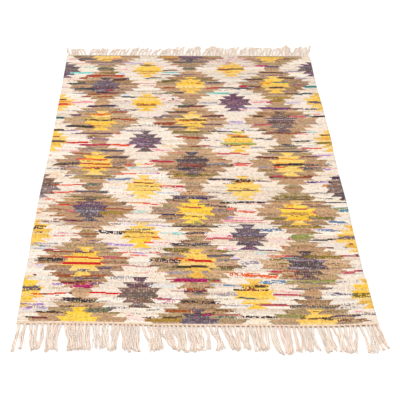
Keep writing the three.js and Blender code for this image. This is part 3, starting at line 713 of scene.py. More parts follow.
def streak(y, x0, x1, name, rows=2, q=0.1, colour=None):
    rgb = np.array(NAMED[name] if colour is None else colour, float)
    rgb = rgb * 0.90 + rgb.mean() * 0.10
    rgb = rgb + max(0.0, 95 - rgb.mean()) * 0.4
    at = row_at((x0 + x1) / 2, y)
    first = int(round(at - rows / 2))
    lot = np.clip(rgb * (1 + rng.normal() * 0.03) + rng.normal(size=3) * 2, 0, 255)
    m0, m1 = warp_at(x0), warp_at(x1)
    # A longer yarn may shift by a row somewhere along its way.
    shift = int(rng.choice([-1, 0, 1])) if m1 - m0 > 14 else 0
    bend = m0 + (m1 - m0) * rng.uniform(0.3, 0.7)
    loose = 1.5 if m1 - m0 > 8 else 0.6
    for k in range(rows):
        tone = np.clip(lot * (1 + rng.normal() * 0.03), 0, 255)
        a, b = m0 + rng.normal() * loose, m1 + rng.normal() * loose
        for start, end, row in ((a, bend, first + k), (bend, b, first + k + shift)):
            if not FAR_ROWS <= row < ROWS - NEAR_ROWS:
                continue
            start, end = int(np.clip(round(start), 0, WARPS)), int(np.clip(round(end), 0, WARPS))
            if m0 <= 2 and start < bend - 1:
                start = 0
            if m1 >= WARPS - 2 and end > bend + 1:
                end = WARPS
            for under in np.unique(grid[row, start:end]):
                where = np.zeros(WARPS, bool)
                where[start:end] = grid[row, start:end] == under
                grid[row, where] = style(tone, styles[under][0], q)


def small_streaks():
    """Faint odd yarns that the rug has everywhere."""
    for _ in range(660):
        x = rng.uniform(-600, 600)
        y = 890 - 1770 * rng.uniform(0, 1) ** 1.25
        row = int(np.clip(row_at(x, y), FAR_ROWS, ROWS - NEAR_ROWS - 1))
        m = int(np.clip(warp_at(x), 0, WARPS - 1))
        kind = block[row, m]
        a = b = m
        while a > 0 and block[row, a - 1] == kind and m - a < 40:
            a -= 1
        while b < WARPS and block[row, b] == kind and b - m < 40:
            b += 1
            if b == WARPS:
                break
        if b - a < 6 or kind == 5:
            continue
        pick = {
            1: ["peach", "palepink", "palegrey", "tan", "lilacgrey", "tan", "grey", "pink", "straw", "tan"],
            2: ["grey", "rust", "olive", "purplegrey", "brown", "mauve", "greygreen", "lilacgrey", "darkbrown"],
            3: ["gold", "orange", "rust", "orange", "rust", "straw", "brown"],
            4: ["black", "purplegrey", "plum", "darkgrey", "lilacgrey", "mauve"],
        }[int(kind)]
        name = pick[int(rng.integers(len(pick)))]
        length = rng.uniform(0.4, 1.0) * (b - a)
        start = a + rng.uniform(0, 1) * (b - a - length)
        streak(y, start * PITCH - WIDTH / 2, (start + length) * PITCH - WIDTH / 2, name,
               rows=int(rng.choice([1, 2, 2])), q=float(rng.choice([D, 0.5, 0.6, 0.7])))


small_streaks()
for y, x0, x1, name, *more in STREAKS:
    rows, share = (more + [2, 0.1][len(more):])[:2]
    # the far rows are the finest, and their odd yarns take one row more
    if rows > 1 and (y > 300 or (y > 0 and rng.uniform() < 0.4)):
        rows, share = rows + 1, share * 0.8
    streak(y, x0, x1, name, rows, share)


# ------------------------------------------------------------ mesh from arrays

def make_object(name, verts, faces, corner=None, point=None, uv=None, smooth_shade=True):
    mesh = bpy.data.meshes.new(name)
    mesh.from_pydata(verts.tolist() if hasattr(verts, "tolist") else verts, [], faces)
    mesh.update()
    for key, (kind, values) in (corner or {}).items():
        layer = mesh.attributes.new(key, kind, "CORNER")
        layer.data.foreach_set("color" if "COLOR" in kind else "value" if kind == "FLOAT" else "vector",
                               np.ascontiguousarray(values, np.float32).ravel())
    for key, (kind, values) in (point or {}).items():
        layer = mesh.attributes.new(key, kind, "POINT")
        layer.data.foreach_set("color" if "COLOR" in kind else "value" if kind == "FLOAT" else "vector",
                               np.ascontiguousarray(values, np.float32).ravel())
    if uv is not None:
        layer = mesh.uv_layers.new(name="OFBake")
        layer.data.foreach_set("uv", np.ascontiguousarray(uv, np.float32).ravel())
    mesh.polygons.foreach_set("use_smooth", np.full(len(mesh.polygons), smooth_shade))
    mesh.update()
    obj = bpy.data.objects.new(name, mesh)
    bpy.context.scene.collection.objects.link(obj)
    return obj


# ------------------------------------------------------------------- the field

def cloth_lift(x, y):
    """How far the cloth stands off the floor: a few soft ripples, most at its edges."""
    edge = np.maximum(np.abs(x) / 600, np.abs(y) / 900) ** 6
    ripple = 0.5 + 0.5 * np.sin(x * 0.011 + 1.3 + 0.6 * np.sin(y * 0.006))
    ripple *= 0.5 + 0.5 * np.sin(y * 0.017 + 0.8 * np.sin(x * 0.008))
    return 0.25 + ripple * (0.35 + 1.5 * edge)


def build_field():
    ends = []  # where each row changes colour
    for row in range(ROWS):
        change = np.flatnonzero(np.diff(grid[row])) + 1
        ends.append([0, *change.tolist(), WARPS])
    base = {0, 1, WARPS - 1, WARPS, *range(0, WARPS + 1, 5)}
    line_marks, first = [], []
    count = 0
    for k in range(ROWS + 1):
        marks = set(base)
        if k > 0:
            marks.update(ends[k - 1])
        if k < ROWS:
            marks.update(ends[k])
        marks = sorted(marks)
        line_marks.append(marks)
        first.append(count)
        count += len(marks)
    ks = np.concatenate([np.full(len(m), k) for k, m in enumerate(line_marks)])
    ms = np.concatenate([np.array(m) for m in line_marks])
    y = LINES[ks, ms]
    s = lattice[ms]
    left = np.clip((-s - 400) / 200, 0, 1) ** 2
    right = np.clip((s - 400) / 200, 0, 1) ** 2
    turn = np.where((ms == 0) | (ms == WARPS), np.where((ks // 1) % 2 == 0, 0.7, -0.7), 0.0)
    turn = turn * np.where(ms == 0, -1, 1)
    x = s + left * (left_edge(y) + 600) + right * (right_edge(y) - 600) + turn
    r = np.random.default_rng(7)
    rowz = r.normal(size=ROWS + 1) * 0.10
    thick = np.full(len(ms), 1.9)
    thick[(ms == 1) | (ms == WARPS - 1)] = 1.75
    thick[(ms == 0) | (ms == WARPS)] = 1.0
    thick[(ks == 0) | (ks == ROWS)] = np.minimum(thick[(ks == 0) | (ks == ROWS)], 1.1)
    lift = cloth_lift(x, y)
    top = lift + 1.9 + thick + rowz[ks] + r.normal(size=len(ms)) * 0.05
    low = np.maximum(lift + 1.9 - thick - rowz[ks] * 0.5, 0.05)
    n = count
    verts = np.zeros((2 * n, 3))
    verts[:n] = np.stack([x, y, top], 1)
    verts[n:] = np.stack([x, y, low], 1)

    faces, face_style = [], []
    index = [dict(zip(marks, range(f, f + len(marks)))) for marks, f in zip(line_marks, first)]
    for row in range(ROWS):
        upper, lower = line_marks[row], line_marks[row + 1]
        iu, il = index[row], index[row + 1]
        i = j = 0
        for a, b in zip(ends[row][:-1], ends[row][1:]):
            number = int(grid[row, a])
            while upper[i] < b or lower[j] < b:
                nu = upper[i + 1] if upper[i] < b else WARPS + 9
                nl = lower[j + 1] if lower[j] < b else WARPS + 9
                t0, b0 = iu[upper[i]], il[lower[j]]
                if nu == nl:
                    faces.append((t0, b0, il[nl], iu[nu]))
                    i, j = i + 1, j + 1
                elif nl < nu:
                    faces.append((t0, b0, il[nl]))
                    j += 1
                else:
                    faces.append((t0, b0, iu[nu]))
                    i += 1
                face_style.append(number)
    tops = len(faces)
    for f in range(tops):
        faces.append(tuple(v + n for v in reversed(faces[f])))
        face_style.append(face_style[f])
    flats = len(faces)
    for row in range(ROWS):
        for m, flip in ((0, False), (WARPS, True)):
            t0, t1 = index[row][m], index[row + 1][m]
            quad = (t0, t0 + n, t1 + n, t1)
            faces.append(tuple(reversed(quad)) if flip else quad)
            face_style.append(int(grid[row, min(m, WARPS - 1)]))
    for k, flip in ((0, True), (ROWS, False)):
        marks = line_marks[k]
        for a, b in zip(marks[:-1], marks[1:]):
            t0, t1 = index[k][a], index[k][b]
            quad = (t0, t0 + n, t1 + n, t1)
            faces.append(tuple(reversed(quad)) if flip else quad)
            face_style.append(int(grid[min(k, ROWS - 1), a]))

    table_a = np.array([[*linear(s[0]), 1.0] for s in styles])
    table_b = np.array([[*linear(s[1]), 1.0] for s in styles])
    # Two yarns thrown by turns show as upright lines: their share is kept above 1.
    table_q = np.array([s[2] for s in styles])
    sizes = np.array([len(f) for f in faces])
    corner_style = np.repeat(np.array(face_style), sizes)
    corner_vert = np.concatenate([np.array(f) for f in faces])
    lo, hi = verts.min(0), verts.max(0)
    u = (x - lo[0]) / (hi[0] - lo[0])
    w = (y - lo[1]) / (hi[1] - lo[1])
    uv_point = np.stack([u, w], 1) * 0.996 + 0.002
    uv = uv_point[corner_vert % n]
    # The thin faces round the edge take a narrow strip just inside it.
    side = np.repeat(np.arange(len(faces)) >= flats, sizes)
    under = side & (corner_vert >= n)
    centre = np.array([0.5, 0.5])
    uv[under] += np.sign(centre - uv[under]) * np.where(np.abs(uv[under] - 0.5) > 0.49, 0.004, 0.0)
    weave_point = np.stack([ms.astype(float), ks.astype(float), np.zeros(n)], 1)
    weave = weave_point[corner_vert % n]
    obj = make_object(
        "woven_field", metres(verts), faces,
        corner={
            "yarn_a": ("FLOAT_COLOR", table_a[corner_style]),
            "yarn_b": ("FLOAT_COLOR", table_b[corner_style]),
            "yarn_mix": ("FLOAT", table_q[corner_style]),
            "weave": ("FLOAT_VECTOR", weave),
        },
        uv=uv,
    )
    tris = int((sizes - 2).sum())
    print("field", len(verts), "vertices", tris, "triangles", len(styles), "styles")
    return obj


# ---------------------------------------------------------------- the fringes

def apart(values, least, inside=lambda x: x):
    """Moves a row of numbers apart until each is at least that far from the next."""
    values = list(values)
    for _ in range(600):
        for i in range(1, len(values)):
            short = least - (values[i] - values[i - 1])
            if short > 0:
                values[i] = inside(values[i] + short / 2)
                values[i - 1] = inside(values[i - 1] - short / 2)
    return values


def tassels(table, start, end):
    def inside(x):
        return min(max(x, start + KNOT_WIDTH / 2), end - KNOT_WIDTH / 2)

    base = apart([inside(t[0]) for t in table], KNOT_STEP, inside)
    tip = apart([t[1] for t in table], TIP_STEP)
    middle = apart([(b + e) / 2 + t[2] for b, e, t in zip(base, tip, table)], MIDDLE_STEP)
    return [
        {"base": b, "tip": e, "bow": m - (b + e) / 2, "reach": t[3]}
        for b, e, m, t in zip(base, tip, middle, table)
    ]


class Bundle:
    """Collects tubes and lumps of yarn into one mesh."""

    def __init__(self, cells):
        self.verts, self.faces, self.colours, self.ply, self.uv = [], [], [], [], []
        self.count = 0
        self.cells = cells
        self.cell = 0

    def tube(self, path, radius, colour, turns=0.0, sides=6, lobe=0.16, phase=0.0, shades=None, closed=False):
        path = np.asarray(path, float)
        n = len(path)
        radius = np.broadcast_to(np.asarray(radius, float), (n,))
        if closed:
            tangent = np.roll(path, -1, 0) - np.roll(path, 1, 0)
        else:
            tangent = np.gradient(path, axis=0)
        tangent /= np.linalg.norm(tangent, axis=1)[:, None]
        up = np.array([0.0, 0.0, 1.0])
        across = np.cross(tangent, up)
        short = np.linalg.norm(across, axis=1)
        across[short < 1e-4] = [1, 0, 0]
        across /= np.linalg.norm(across, axis=1)[:, None]
        rise = np.cross(across, tangent)
        length = np.concatenate([[0], np.cumsum(np.linalg.norm(np.diff(path, axis=0), axis=1))])
        angle = np.arange(sides) * 2 * math.pi / sides
        spin = phase + turns * 2 * math.pi * length
        a = angle[None, :] + spin[:, None]
        r = radius[:, None] * (1 + lobe * np.cos(angle * sides / 2))[None, :]
        ring = path[:, None, :] + r[..., None] * (
            np.cos(a)[..., None] * across[:, None, :] + np.sin(a)[..., None] * rise[:, None, :]
        )
        ring[..., 2] = np.maximum(ring[..., 2], 0.04)
        self.verts.append(ring.reshape(-1, 3))
        shades = np.ones(n) if shades is None else np.asarray(shades, float)
        rgb = linear(colour)[None, :] * 1.12 * shades[:, None]
        self.colours.append(np.repeat(np.concatenate([np.minimum(rgb, 0.93), np.ones((n, 1))], 1), sides, 0))
        groove = np.tile(0.5 - 0.5 * np.cos(angle * sides / 2 + math.pi), n)
        self.ply.append(np.stack([np.repeat(length, sides), groove, np.full(n * sides, phase)], 1))
        cols = int(math.ceil(math.sqrt(self.cells)))
        cx, cy = self.cell % cols, self.cell // cols
        self.cell = min(self.cell + 1, self.cells - 1)
        k0 = self.count
        total = length[-1] + 1e-9
        rings = n if closed else n - 1
        for i in range(rings):
            i2 = (i + 1) % n
            for s in range(sides):
                s2 = (s + 1) % sides
                self.faces.append((k0 + i * sides + s, k0 + i * sides + s2, k0 + i2 * sides + s2, k0 + i2 * sides + s))
                u0, u1 = (cx + 0.08 + 0.84 * s / sides) / cols, (cx + 0.08 + 0.84 * (s + 1) / sides) / cols
                l0 = length[i] / total
                l1 = length[i + 1] / total if i + 1 < n else 1.0
                if closed:
                    l0, l1 = i / n, (i + 1) / n
                v0, v1 = (cy + 0.06 + 0.88 * l0) / cols, (cy + 0.06 + 0.88 * l1) / cols
                self.uv += [(u0, v0), (u1, v0), (u1, v1), (u0, v1)]
        if not closed:
            for i, order in ((0, range(sides - 1, -1, -1)), (n - 1, range(sides))):
                face = tuple(k0 + i * sides + s for s in order)
                self.faces.append(face)
                v = cy + 0.06 + 0.88 * (0.0 if i == 0 else 1.0)
                mid = (cx + 0.5) / cols
                for s in order:
                    w = 0.02 * math.sin(s * 2 * math.pi / sides)
                    h = 0.02 * math.cos(s * 2 * math.pi / sides)
                    self.uv.append((mid + w / cols, (v + h * (1 if i == 0 else 1)) / cols))
        self.count += n * sides

    def build(self, name):
        verts = metres(np.concatenate(self.verts))
        obj = make_object(
            name, verts, self.faces,
            point={
                "yarn_a": ("FLOAT_COLOR", np.concatenate(self.colours)),
                "ply": ("FLOAT_VECTOR", np.concatenate(self.ply)),
            },
            uv=np.array(self.uv),
        )
        tris = sum(len(f) - 2 for f in self.faces)
        print(name, len(verts), "vertices", tris, "triangles", self.cell, "tubes")
        return obj


YARN = [(251, 231, 214), (250, 229, 211), (252, 234, 218), (251, 228, 209), (250, 230, 214)]
# painted shade: colours of the dark lumps that stand in for the shadow in the gaps between the knots
NEAR_GAP_PAINTED_SHADE, FAR_GAP_PAINTED_SHADE = (122, 86, 62), (132, 120, 88)
STRANDS = [(-4.3, 1.45), (-1.45, 1.5), (1.45, 1.5), (4.3, 1.45), (-2.9, 3.3), (0.0, 3.5), (2.9, 3.3)]
# Tassels whose tips are tied in a small knot, by their place in the row.
NEAR_TIED = [0, 1, 3, 23, 26, 36, 39, 50, 54, 76]
# Odd yarns that lie apart from their tassels: points, then radius.
NEAR_STRAYS = [
    ([(-571, -932), (-572, -950), (-568, -972), (-562, -990), (-559, -1006)], 0.9),
    ([(-2, -985), (2, -999), (10, -1010), (19, -1011), (27, -1003), (29, -990)], 1.9),
    ([(-243, -985), (-236, -1000), (-228, -1012), (-225, -1022)], 1.1),
    ([(206, -1008), (207, -1020), (206, -1031)], 0.8),
    ([(-281, -990), (-272, -1005), (-267, -1016)], 1.0),
    ([(-466, -945), (-478, -975), (-482, -1002)], 1.2),
]


def build_fringe(name, table, edge, side, seed, gap_painted_shade, tied=(), strays=()):
    r = np.random.default_rng(seed)
    left = float(left_edge(side * LENGTH / 2))
    right = float(right_edge(side * LENGTH / 2))
    bundle = Bundle(1400)
    items = tassels(table, left, right)

    def middle_line(t, q):
        return t["base"] + (t["tip"] - t["base"]) * q + t["bow"] * np.sin(math.pi * np.minimum(q, 1))

    for number, t in enumerate(items):
        foot = float(edge(t["base"]))
        start = foot + side * (GAP + KNOTS)
        reach = t["reach"] * ((0.988 if side < 0 else 1) + 0.02 * r.normal())
        colour = np.array(YARN[int(r.integers(len(YARN)))], float) + r.normal() * 1.5
        if side < 0:
            colour = colour + (2, 3, 5)
        wave = r.normal(size=2) * [1.5, 0.8]
        turn = r.uniform(0, 6, size=2)
        spread = r.uniform(0.90, 1.20) if side < 0 else r.uniform(0.84, 1.04)
        slope = (t["tip"] - t["base"]) / reach
        nx, ny = 1 / math.hypot(1, slope), -side * slope / math.hypot(1, slope)
        is_tied = number in tied
        for o, z0 in STRANDS:
            cut = 1 + r.normal() * (0.01 if is_tied else 0.035)
            n = max(12, int(reach * cut / 5.0))
            q = np.linspace(0, 1, n) * cut
            bx = middle_line(t, q)
            by = start + side * reach * q
            loose = np.clip(q * 3.5, 0, 1)
            bx = bx + loose * (wave[0] * np.sin(q * 5.5 + turn[0]) + wave[1] * np.sin(q * 12 + turn[1]))
            grown = np.clip(q / 0.2, 0, 1)
            widen = 0.86 + 0.14 * grown * grown * (3 - 2 * grown)
            if is_tied:
                near_tip = np.clip((q - 0.62) / 0.3, 0, 1)
                widen = widen * (1 - 0.55 * near_tip)
            wob = r.normal() * 1.25 * np.sin(q * r.uniform(4, 9) + r.uniform(0, 6)) * loose
            wob += r.normal() * 0.6 * np.sin(q * r.uniform(10, 18) + r.uniform(0, 6)) * loose
            loosest = 0.6 if is_tied else 2.6 if side < 0 else 1.4
            fan = r.normal() * loosest * np.clip((q - 0.45) / 0.55, 0, 1.2) ** 2
            off = o * widen * spread + wob + fan
            # Where two tassels share a place, every second one lies on top.
            over = np.zeros(n)
            if number % 2:
                for other in (number - 1, number + 1):
                    if 0 <= other < len(items):
                        gap = np.abs(middle_line(items[other], q) - middle_line(t, q))
                        over = np.maximum(over, np.clip((12 - gap) / 4, 0, 1))
            fall = np.clip((q - 0.04) / 0.22, 0, 1)
            hang = np.clip((q - 0.6) / 0.35, 0, 1) if z0 > 2 and not is_tied else 0
            pz = (2.7 + (z0 - 2) * 0.6) * (1 - fall) + z0 * fall
            pz = pz * (1 - 0.75 * hang) + 1.7 * 0.75 * hang + 1.5 * over * fall
            path = np.stack([bx + nx * off, by + ny * off, pz], 1)
            # the yarn comes out from inside its knot
            inner = np.array([[t["base"] + o * 0.4, foot + side * 1.5, 2.6]])
            path = np.concatenate([inner, path])
            radius = np.full(n + 1, 1.46) * (1 + 0.06 * r.normal())
            radius[0] = 0.9
            radius[-1] *= 0.45
            radius[-2] *= 0.8
            # painted shade: the lower yarns of a tassel are painted warmer and darker, and the upper ones lighter, for
            # the shade under the upper yarns
            layer_painted_shade = np.array([-4, -10, -17] if z0 < 2 else [2, 4, 6], float)
            lot = np.clip(colour + layer_painted_shade + r.normal(size=3) * 1.3 + r.normal() * 4, 0, 255)
            shades = 1 + 0.06 * np.sin(np.linspace(0, r.uniform(4, 12), n + 1) + r.uniform(0, 6))
            # painted shade: each strand is darker where it comes out of its knot; its last points are a little darker
            # towards the tip
            shades[:3] *= [0.72, 0.86, 0.95]
            shades[-3:] *= [0.99, 0.97, 0.95]
            bundle.tube(path, radius, lot, turns=1 / 34.0, phase=r.uniform(0, 6), shades=shades)
        end = float(middle_line(t, np.array([0.97]))[0])
        tip_y = start + side * reach * 0.97
        if is_tied:
            # a small knot near the tip
            for k, dy in enumerate((-1.6, 1.4)):
                th = np.linspace(0, 2 * math.pi, 11)[:-1]
                path = np.stack([end + 4.6 * np.cos(th), tip_y + dy + 1.2 * (1 - 2 * k) * np.cos(th),
                                 2.7 + 1.5 * np.sin(th)], 1)
                bundle.tube(path, 1.5, colour - (14, 22, 30), turns=0, sides=6, lobe=0.0, closed=True)
        else:
            # frayed hairs
            for _ in range(4):
                q = np.linspace(r.uniform(0.55, 0.8), r.uniform(0.96, 1.09), 6)
                away = r.choice([-1, 1]) * r.uniform(2, 8) * np.linspace(0, 1, 6) ** 1.6
                path = np.stack([
                    middle_line(t, q) + r.uniform(-3, 3) + away, start + side * reach * q,
                    np.linspace(2.4, 0.8, 6),
                ], 1)
                bundle.tube(path, [0.5, 0.6, 0.55, 0.5, 0.4, 0.25], colour, turns=0, sides=4, lobe=0.0)
        # the knot: two turns of yarn round the bundle, each with painted light and shade, lighter on its top and
        # darker beneath
        lean = side * math.radians(r.uniform(14, 30))
        for k, (oy, wide, high) in enumerate(((1.6, 3.7, 1.35), (4.2, 3.9, 1.3))):
            th = np.linspace(0, 2 * math.pi, 13)[:-1]
            cx, cy = t["base"] + r.normal() * 0.3, foot + side * (GAP + oy)
            kx = wide * np.cos(th)
            path = np.stack([
                cx + kx * math.cos(lean),
                cy + kx * math.sin(lean) * (-1 if k else 1) * 0.5,
                2.65 + high * np.sin(th),
            ], 1)
            lot = np.clip(colour + r.normal(size=3) * 3 - (4 if side < 0 else 11, 20, 34), 0, 255)
            bundle.tube(path, 1.3, lot, turns=0, sides=6, lobe=0.0, closed=True,
                        shades=0.96 + 0.06 * np.sin(th))
        # warps from the cloth into the knot, painted darker and darkest at their bend, as painted shade in the crevice
        # between cloth and knot
        for o in (-5.0, -1.8, 1.8, 5.0):
            path = np.array([
                [t["base"] + o, foot - side * 1.2, 2.1],
                [t["base"] + o * 0.8, foot + side * 0.9, 2.3],
                [t["base"] + o * 0.4, foot + side * 2.6, 2.6],
            ])
            bundle.tube(path, 0.95, colour - (10, 20, 32), turns=0, sides=5, lobe=0.0, shades=[0.9, 0.75, 0.85])
    # painted shade: dark lumps of yarn in the gaps between the knots stand in for the shadow there
    for a, b in zip(items[:-1], items[1:]):
        mid = (a["base"] + b["base"]) / 2
        half = max((b["base"] - a["base"] - 7.6) / 2, 1.8) + r.uniform(0.0, 1.2)
        foot = float(edge(mid))
        drop, thick, pale, seen = r.uniform(0.2, 1.0), 1.4, 0.0, 1.0
        if side < 0 and mid < -412:
            drop, thick, pale, seen = r.uniform(-0.5, 1.0), 0.8, r.uniform(0.2, 0.9), 0.6
        elif side < 0 and mid < 125:
            drop, thick, pale, seen = r.uniform(1.2, 2.6), r.uniform(0.7, 1.1), r.uniform(0.1, 0.7), 0.92
        elif side < 0:
            drop, thick, pale = r.uniform(-0.3, 0.6), r.uniform(0.9, 1.3), r.uniform(0.0, 0.3)
        if r.uniform() > seen:
            continue
        path = np.array([
            [mid - half, foot + side * (1.6 - drop), 2.6],
            [mid - half * 0.45, foot + side * (1.7 - drop * 0.5), 3.0],
            [mid + half * 0.45, foot + side * (1.9 + drop * 0.5), 3.0],
            [mid + half, foot + side * (2.0 + drop), 2.6],
        ])
        tint = np.array(gap_painted_shade) * (1 - pale) + np.array([204, 160, 128]) * pale
        bundle.tube(path, [0.5 * thick, thick, thick, 0.5 * thick], tint, turns=0, sides=6, lobe=0.0,
                    shades=[0.9, 1.0, 1.0, 0.9])
    for points, radius in strays:
        points = np.array(points, float)
        n = len(points)
        s = np.linspace(0, n - 1, 3 * n)
        path = np.stack([np.interp(s, range(n), points[:, 0]), np.interp(s, range(n), points[:, 1]),
                         np.full(len(s), radius + 0.3)], 1)
        thick = np.full(len(s), radius)
        thick[0] = thick[-1] = radius * 0.5
        bundle.tube(path, thick, np.array(YARN[0]) - 6, turns=1 / 34.0)
    return bundle.build(name)


# ------------------------------------------------------------------- materials

class Nodes:
    def __init__(self, name):
        self.material = bpy.data.materials.new(name)
        self.material.use_nodes = True
        self.tree = self.material.node_tree
        self.tree.nodes.clear()

    def new(self, kind, **settings):
        node = self.tree.nodes.new(kind)
        for key, value in settings.items():
            setattr(node, key, value)
        return node

    def link(self, a, b):
        self.tree.links.new(a, b)

    def put(self, socket, value):
        if hasattr(value, "is_linked") or isinstance(value, bpy.types.NodeSocket):
            self.link(value, socket)
        else:
            socket.default_value = value

    def math(self, operation, a, b=None, c=None):
        node = self.new("ShaderNodeMath", operation=operation)
        for socket, value in zip(node.inputs, (a, b, c)):
            if value is not None:
                self.put(socket, value)
        return node.outputs[0]

    def combine(self, x, y, z=0.0):
        node = self.new("ShaderNodeCombineXYZ")
        for socket, value in zip(node.inputs, (x, y, z)):
            self.put(socket, value)
        return node.outputs[0]

    def split(self, vector):
        node = self.new("ShaderNodeSeparateXYZ")
        self.link(vector, node.inputs[0])
        return node.outputs

    def attribute(self, name):
        return self.new("ShaderNodeAttribute", attribute_name=name)

    def noise(self, vector, scale, detail=2.0, rough=0.5):
        node = self.new("ShaderNodeTexNoise")
        self.link(vector, node.inputs["Vector"])
        node.inputs["Scale"].default_value = scale
        node.inputs["Detail"].default_value = detail
        node.inputs["Roughness"].default_value = rough
        return node.outputs["Fac"]

    def random(self, vector):
        node = self.new("ShaderNodeTexWhiteNoise", noise_dimensions="3D")
        self.link(vector, node.inputs["Vector"])
        return node.outputs

    def mix(self, factor, a, b):
        node = self.new("ShaderNodeMix", data_type="RGBA")
        self.put(node.inputs[0], factor)
        self.put(node.inputs[6], a)
        self.put(node.inputs[7], b)
        return node.outputs[2]

    def scale(self, vector, amount):
        node = self.new("ShaderNodeVectorMath", operation="SCALE")
        self.link(vector, node.inputs[0])
        self.put(node.inputs["Scale"], amount)
        return node.outputs[0]

    def add(self, a, b):
        node = self.new("ShaderNodeVectorMath", operation="ADD")
        self.link(a, node.inputs[0])
        self.put(node.inputs[1], b)
        return node.outputs[0]

    def around(self, value, amount):
        """amount * (value - 0.5)"""
        return self.math("MULTIPLY", self.math("SUBTRACT", value, 0.5), amount)

    def finish(self, colour, roughness, height, distance, strength, sheen, specular=0.12):
        shader = self.new("ShaderNodeBsdfPrincipled")
        self.link(colour, shader.inputs["Base Color"])
        self.link(roughness, shader.inputs["Roughness"])
        shader.inputs["Specular IOR Level"].default_value = specular
        shader.inputs["Sheen Weight"].default_value = sheen
        shader.inputs["Sheen Roughness"].default_value = 0.6
        bump = self.new("ShaderNodeBump")
        bump.inputs["Strength"].default_value = strength
        bump.inputs["Distance"].default_value = distance
        self.link(height, bump.inputs["Height"])
        self.link(bump.outputs[0], shader.inputs["Normal"])
        out = self.new("ShaderNodeOutputMaterial")
        self.link(shader.outputs[0], out.inputs[0])
        return self.material


def weave_material():
    n = Nodes("weft_faced_cotton")
    x, y, _ = n.split(n.attribute("weave").outputs["Vector"])
    column = n.math("FLOOR", x)
    fx = n.math("SUBTRACT", x, column)
    parity = n.math("MODULO", column, 2.0)
    y2 = n.math("ADD", y, n.math("MULTIPLY", parity, 0.5))
    row = n.math("FLOOR", y2)
    fy = n.math("SUBTRACT", y2, row)
    bead = n.random(n.combine(column, row, 0.0))
    tone = n.random(n.combine(column, row, 7.0))
    # Which yarn shows on a bead: runs of a few beads, a little by turns, and
    # clumps of two or three rows where two yarns are thrown together.
    share = n.attribute("yarn_mix").outputs["Fac"]
    turns = n.math("GREATER_THAN", share, 0.95)
    share = n.math("SUBTRACT", share, turns)
    step = n.math("SUBTRACT", 7.31, n.math("MULTIPLY", turns, 6.61))
    run = n.noise(n.combine(n.math("MULTIPLY", column, 0.43), n.math("MULTIPLY", row, step)), 1.0, 1.0)
    run = n.math("ADD", 0.5, n.around(run, 2.3))
    stretch = n.noise(n.combine(n.math("MULTIPLY", column, 0.13), n.math("MULTIPLY", row, 3.37)), 1.0, 1.0)
    stretch = n.math("MINIMUM", n.math("MAXIMUM", n.math("ADD", 0.5, n.around(stretch, 2.4)), 0.0), 1.0)
    share = n.math("MULTIPLY", share, n.math("ADD", 0.4, stretch))
    share = n.math("ADD", share, n.math("MULTIPLY", n.math("MULTIPLY", stretch, stretch), 0.14))
    by_turns = n.math("ADD", 0.16, n.math("MULTIPLY", turns, 0.08))
    lone = n.math("SUBTRACT", 0.34, n.math("MULTIPLY", turns, 0.12))
    chance = n.math("ADD", n.math("MULTIPLY", parity, by_turns), n.math("MULTIPLY", bead["Value"], lone))
    rest = n.math("ADD", 0.50, n.math("MULTIPLY", turns, 0.04))
    chance = n.math("ADD", chance, n.math("MULTIPLY", run, rest))
    other = n.math("LESS_THAN", chance, share)
    colour = n.mix(other, n.attribute("yarn_a").outputs["Color"], n.attribute("yarn_b").outputs["Color"])

    bw = n.new("ShaderNodeRGBToBW")
    n.link(colour, bw.inputs[0])
    room = n.math("SUBTRACT", 1.1, n.math("MULTIPLY", bw.outputs[0], 1.12))
    along = n.noise(n.combine(n.math("MULTIPLY", x, 0.14), n.math("MULTIPLY", y, 0.9)), 1.0, 2.0)
    slub = n.noise(n.combine(n.math("MULTIPLY", x, 0.45), n.math("MULTIPLY", y, 0.42)), 1.0, 1.0)
    ribs = n.noise(n.combine(n.math("MULTIPLY", column, 5.31), n.math("MULTIPLY", y, 0.20)), 1.0, 2.0)
    wide = n.noise(n.combine(n.math("MULTIPLY", x, 0.013), n.math("MULTIPLY", y, 0.013)), 1.0, 1.0)
    fibre = n.noise(n.combine(n.math("MULTIPLY", x, 3.0), n.math("MULTIPLY", y, 9.0)), 1.0, 3.0, 0.7)
    change = n.math("ADD", n.around(along, 0.40), n.around(ribs, 0.56))
    change = n.math("ADD", change, n.around(tone["Value"], 0.58))
    change = n.math("ADD", change, n.around(slub, 1.05))
    change = n.math("ADD", change, n.around(wide, 0.12))
    change = n.math("ADD", change, n.around(fibre, 0.16))
    change = n.math("MULTIPLY", change, room)

    px = n.math("SINE", n.math("MULTIPLY", fx, math.pi))
    py = n.math("SINE", n.math("MULTIPLY", fy, math.pi))
    profile = n.math("POWER", n.math("MULTIPLY", px, n.math("POWER", py, 0.6)), 0.6)
    # painted shade: each bead of weft is darker towards its edges where it meets the next, and lightest on its crown
    bead_painted_shade = n.math("ADD", 0.86, n.math("MULTIPLY", profile, 0.17))
    total = n.math("MULTIPLY", n.math("ADD", 1.0, change), bead_painted_shade)
    tint = n.scale(n.add(bead["Color"], (-0.5, -0.5, -0.5)), n.math("MULTIPLY", room, 0.055))
    final = n.scale(n.add(colour, tint), total)

    rough = n.math("ADD", 0.88, n.around(along, 0.12))
    height = n.math("ADD", profile, n.math("MULTIPLY", fibre, 0.25))
    return n.finish(final, rough, height, 0.0012, 0.75, 0.04, 0.08)


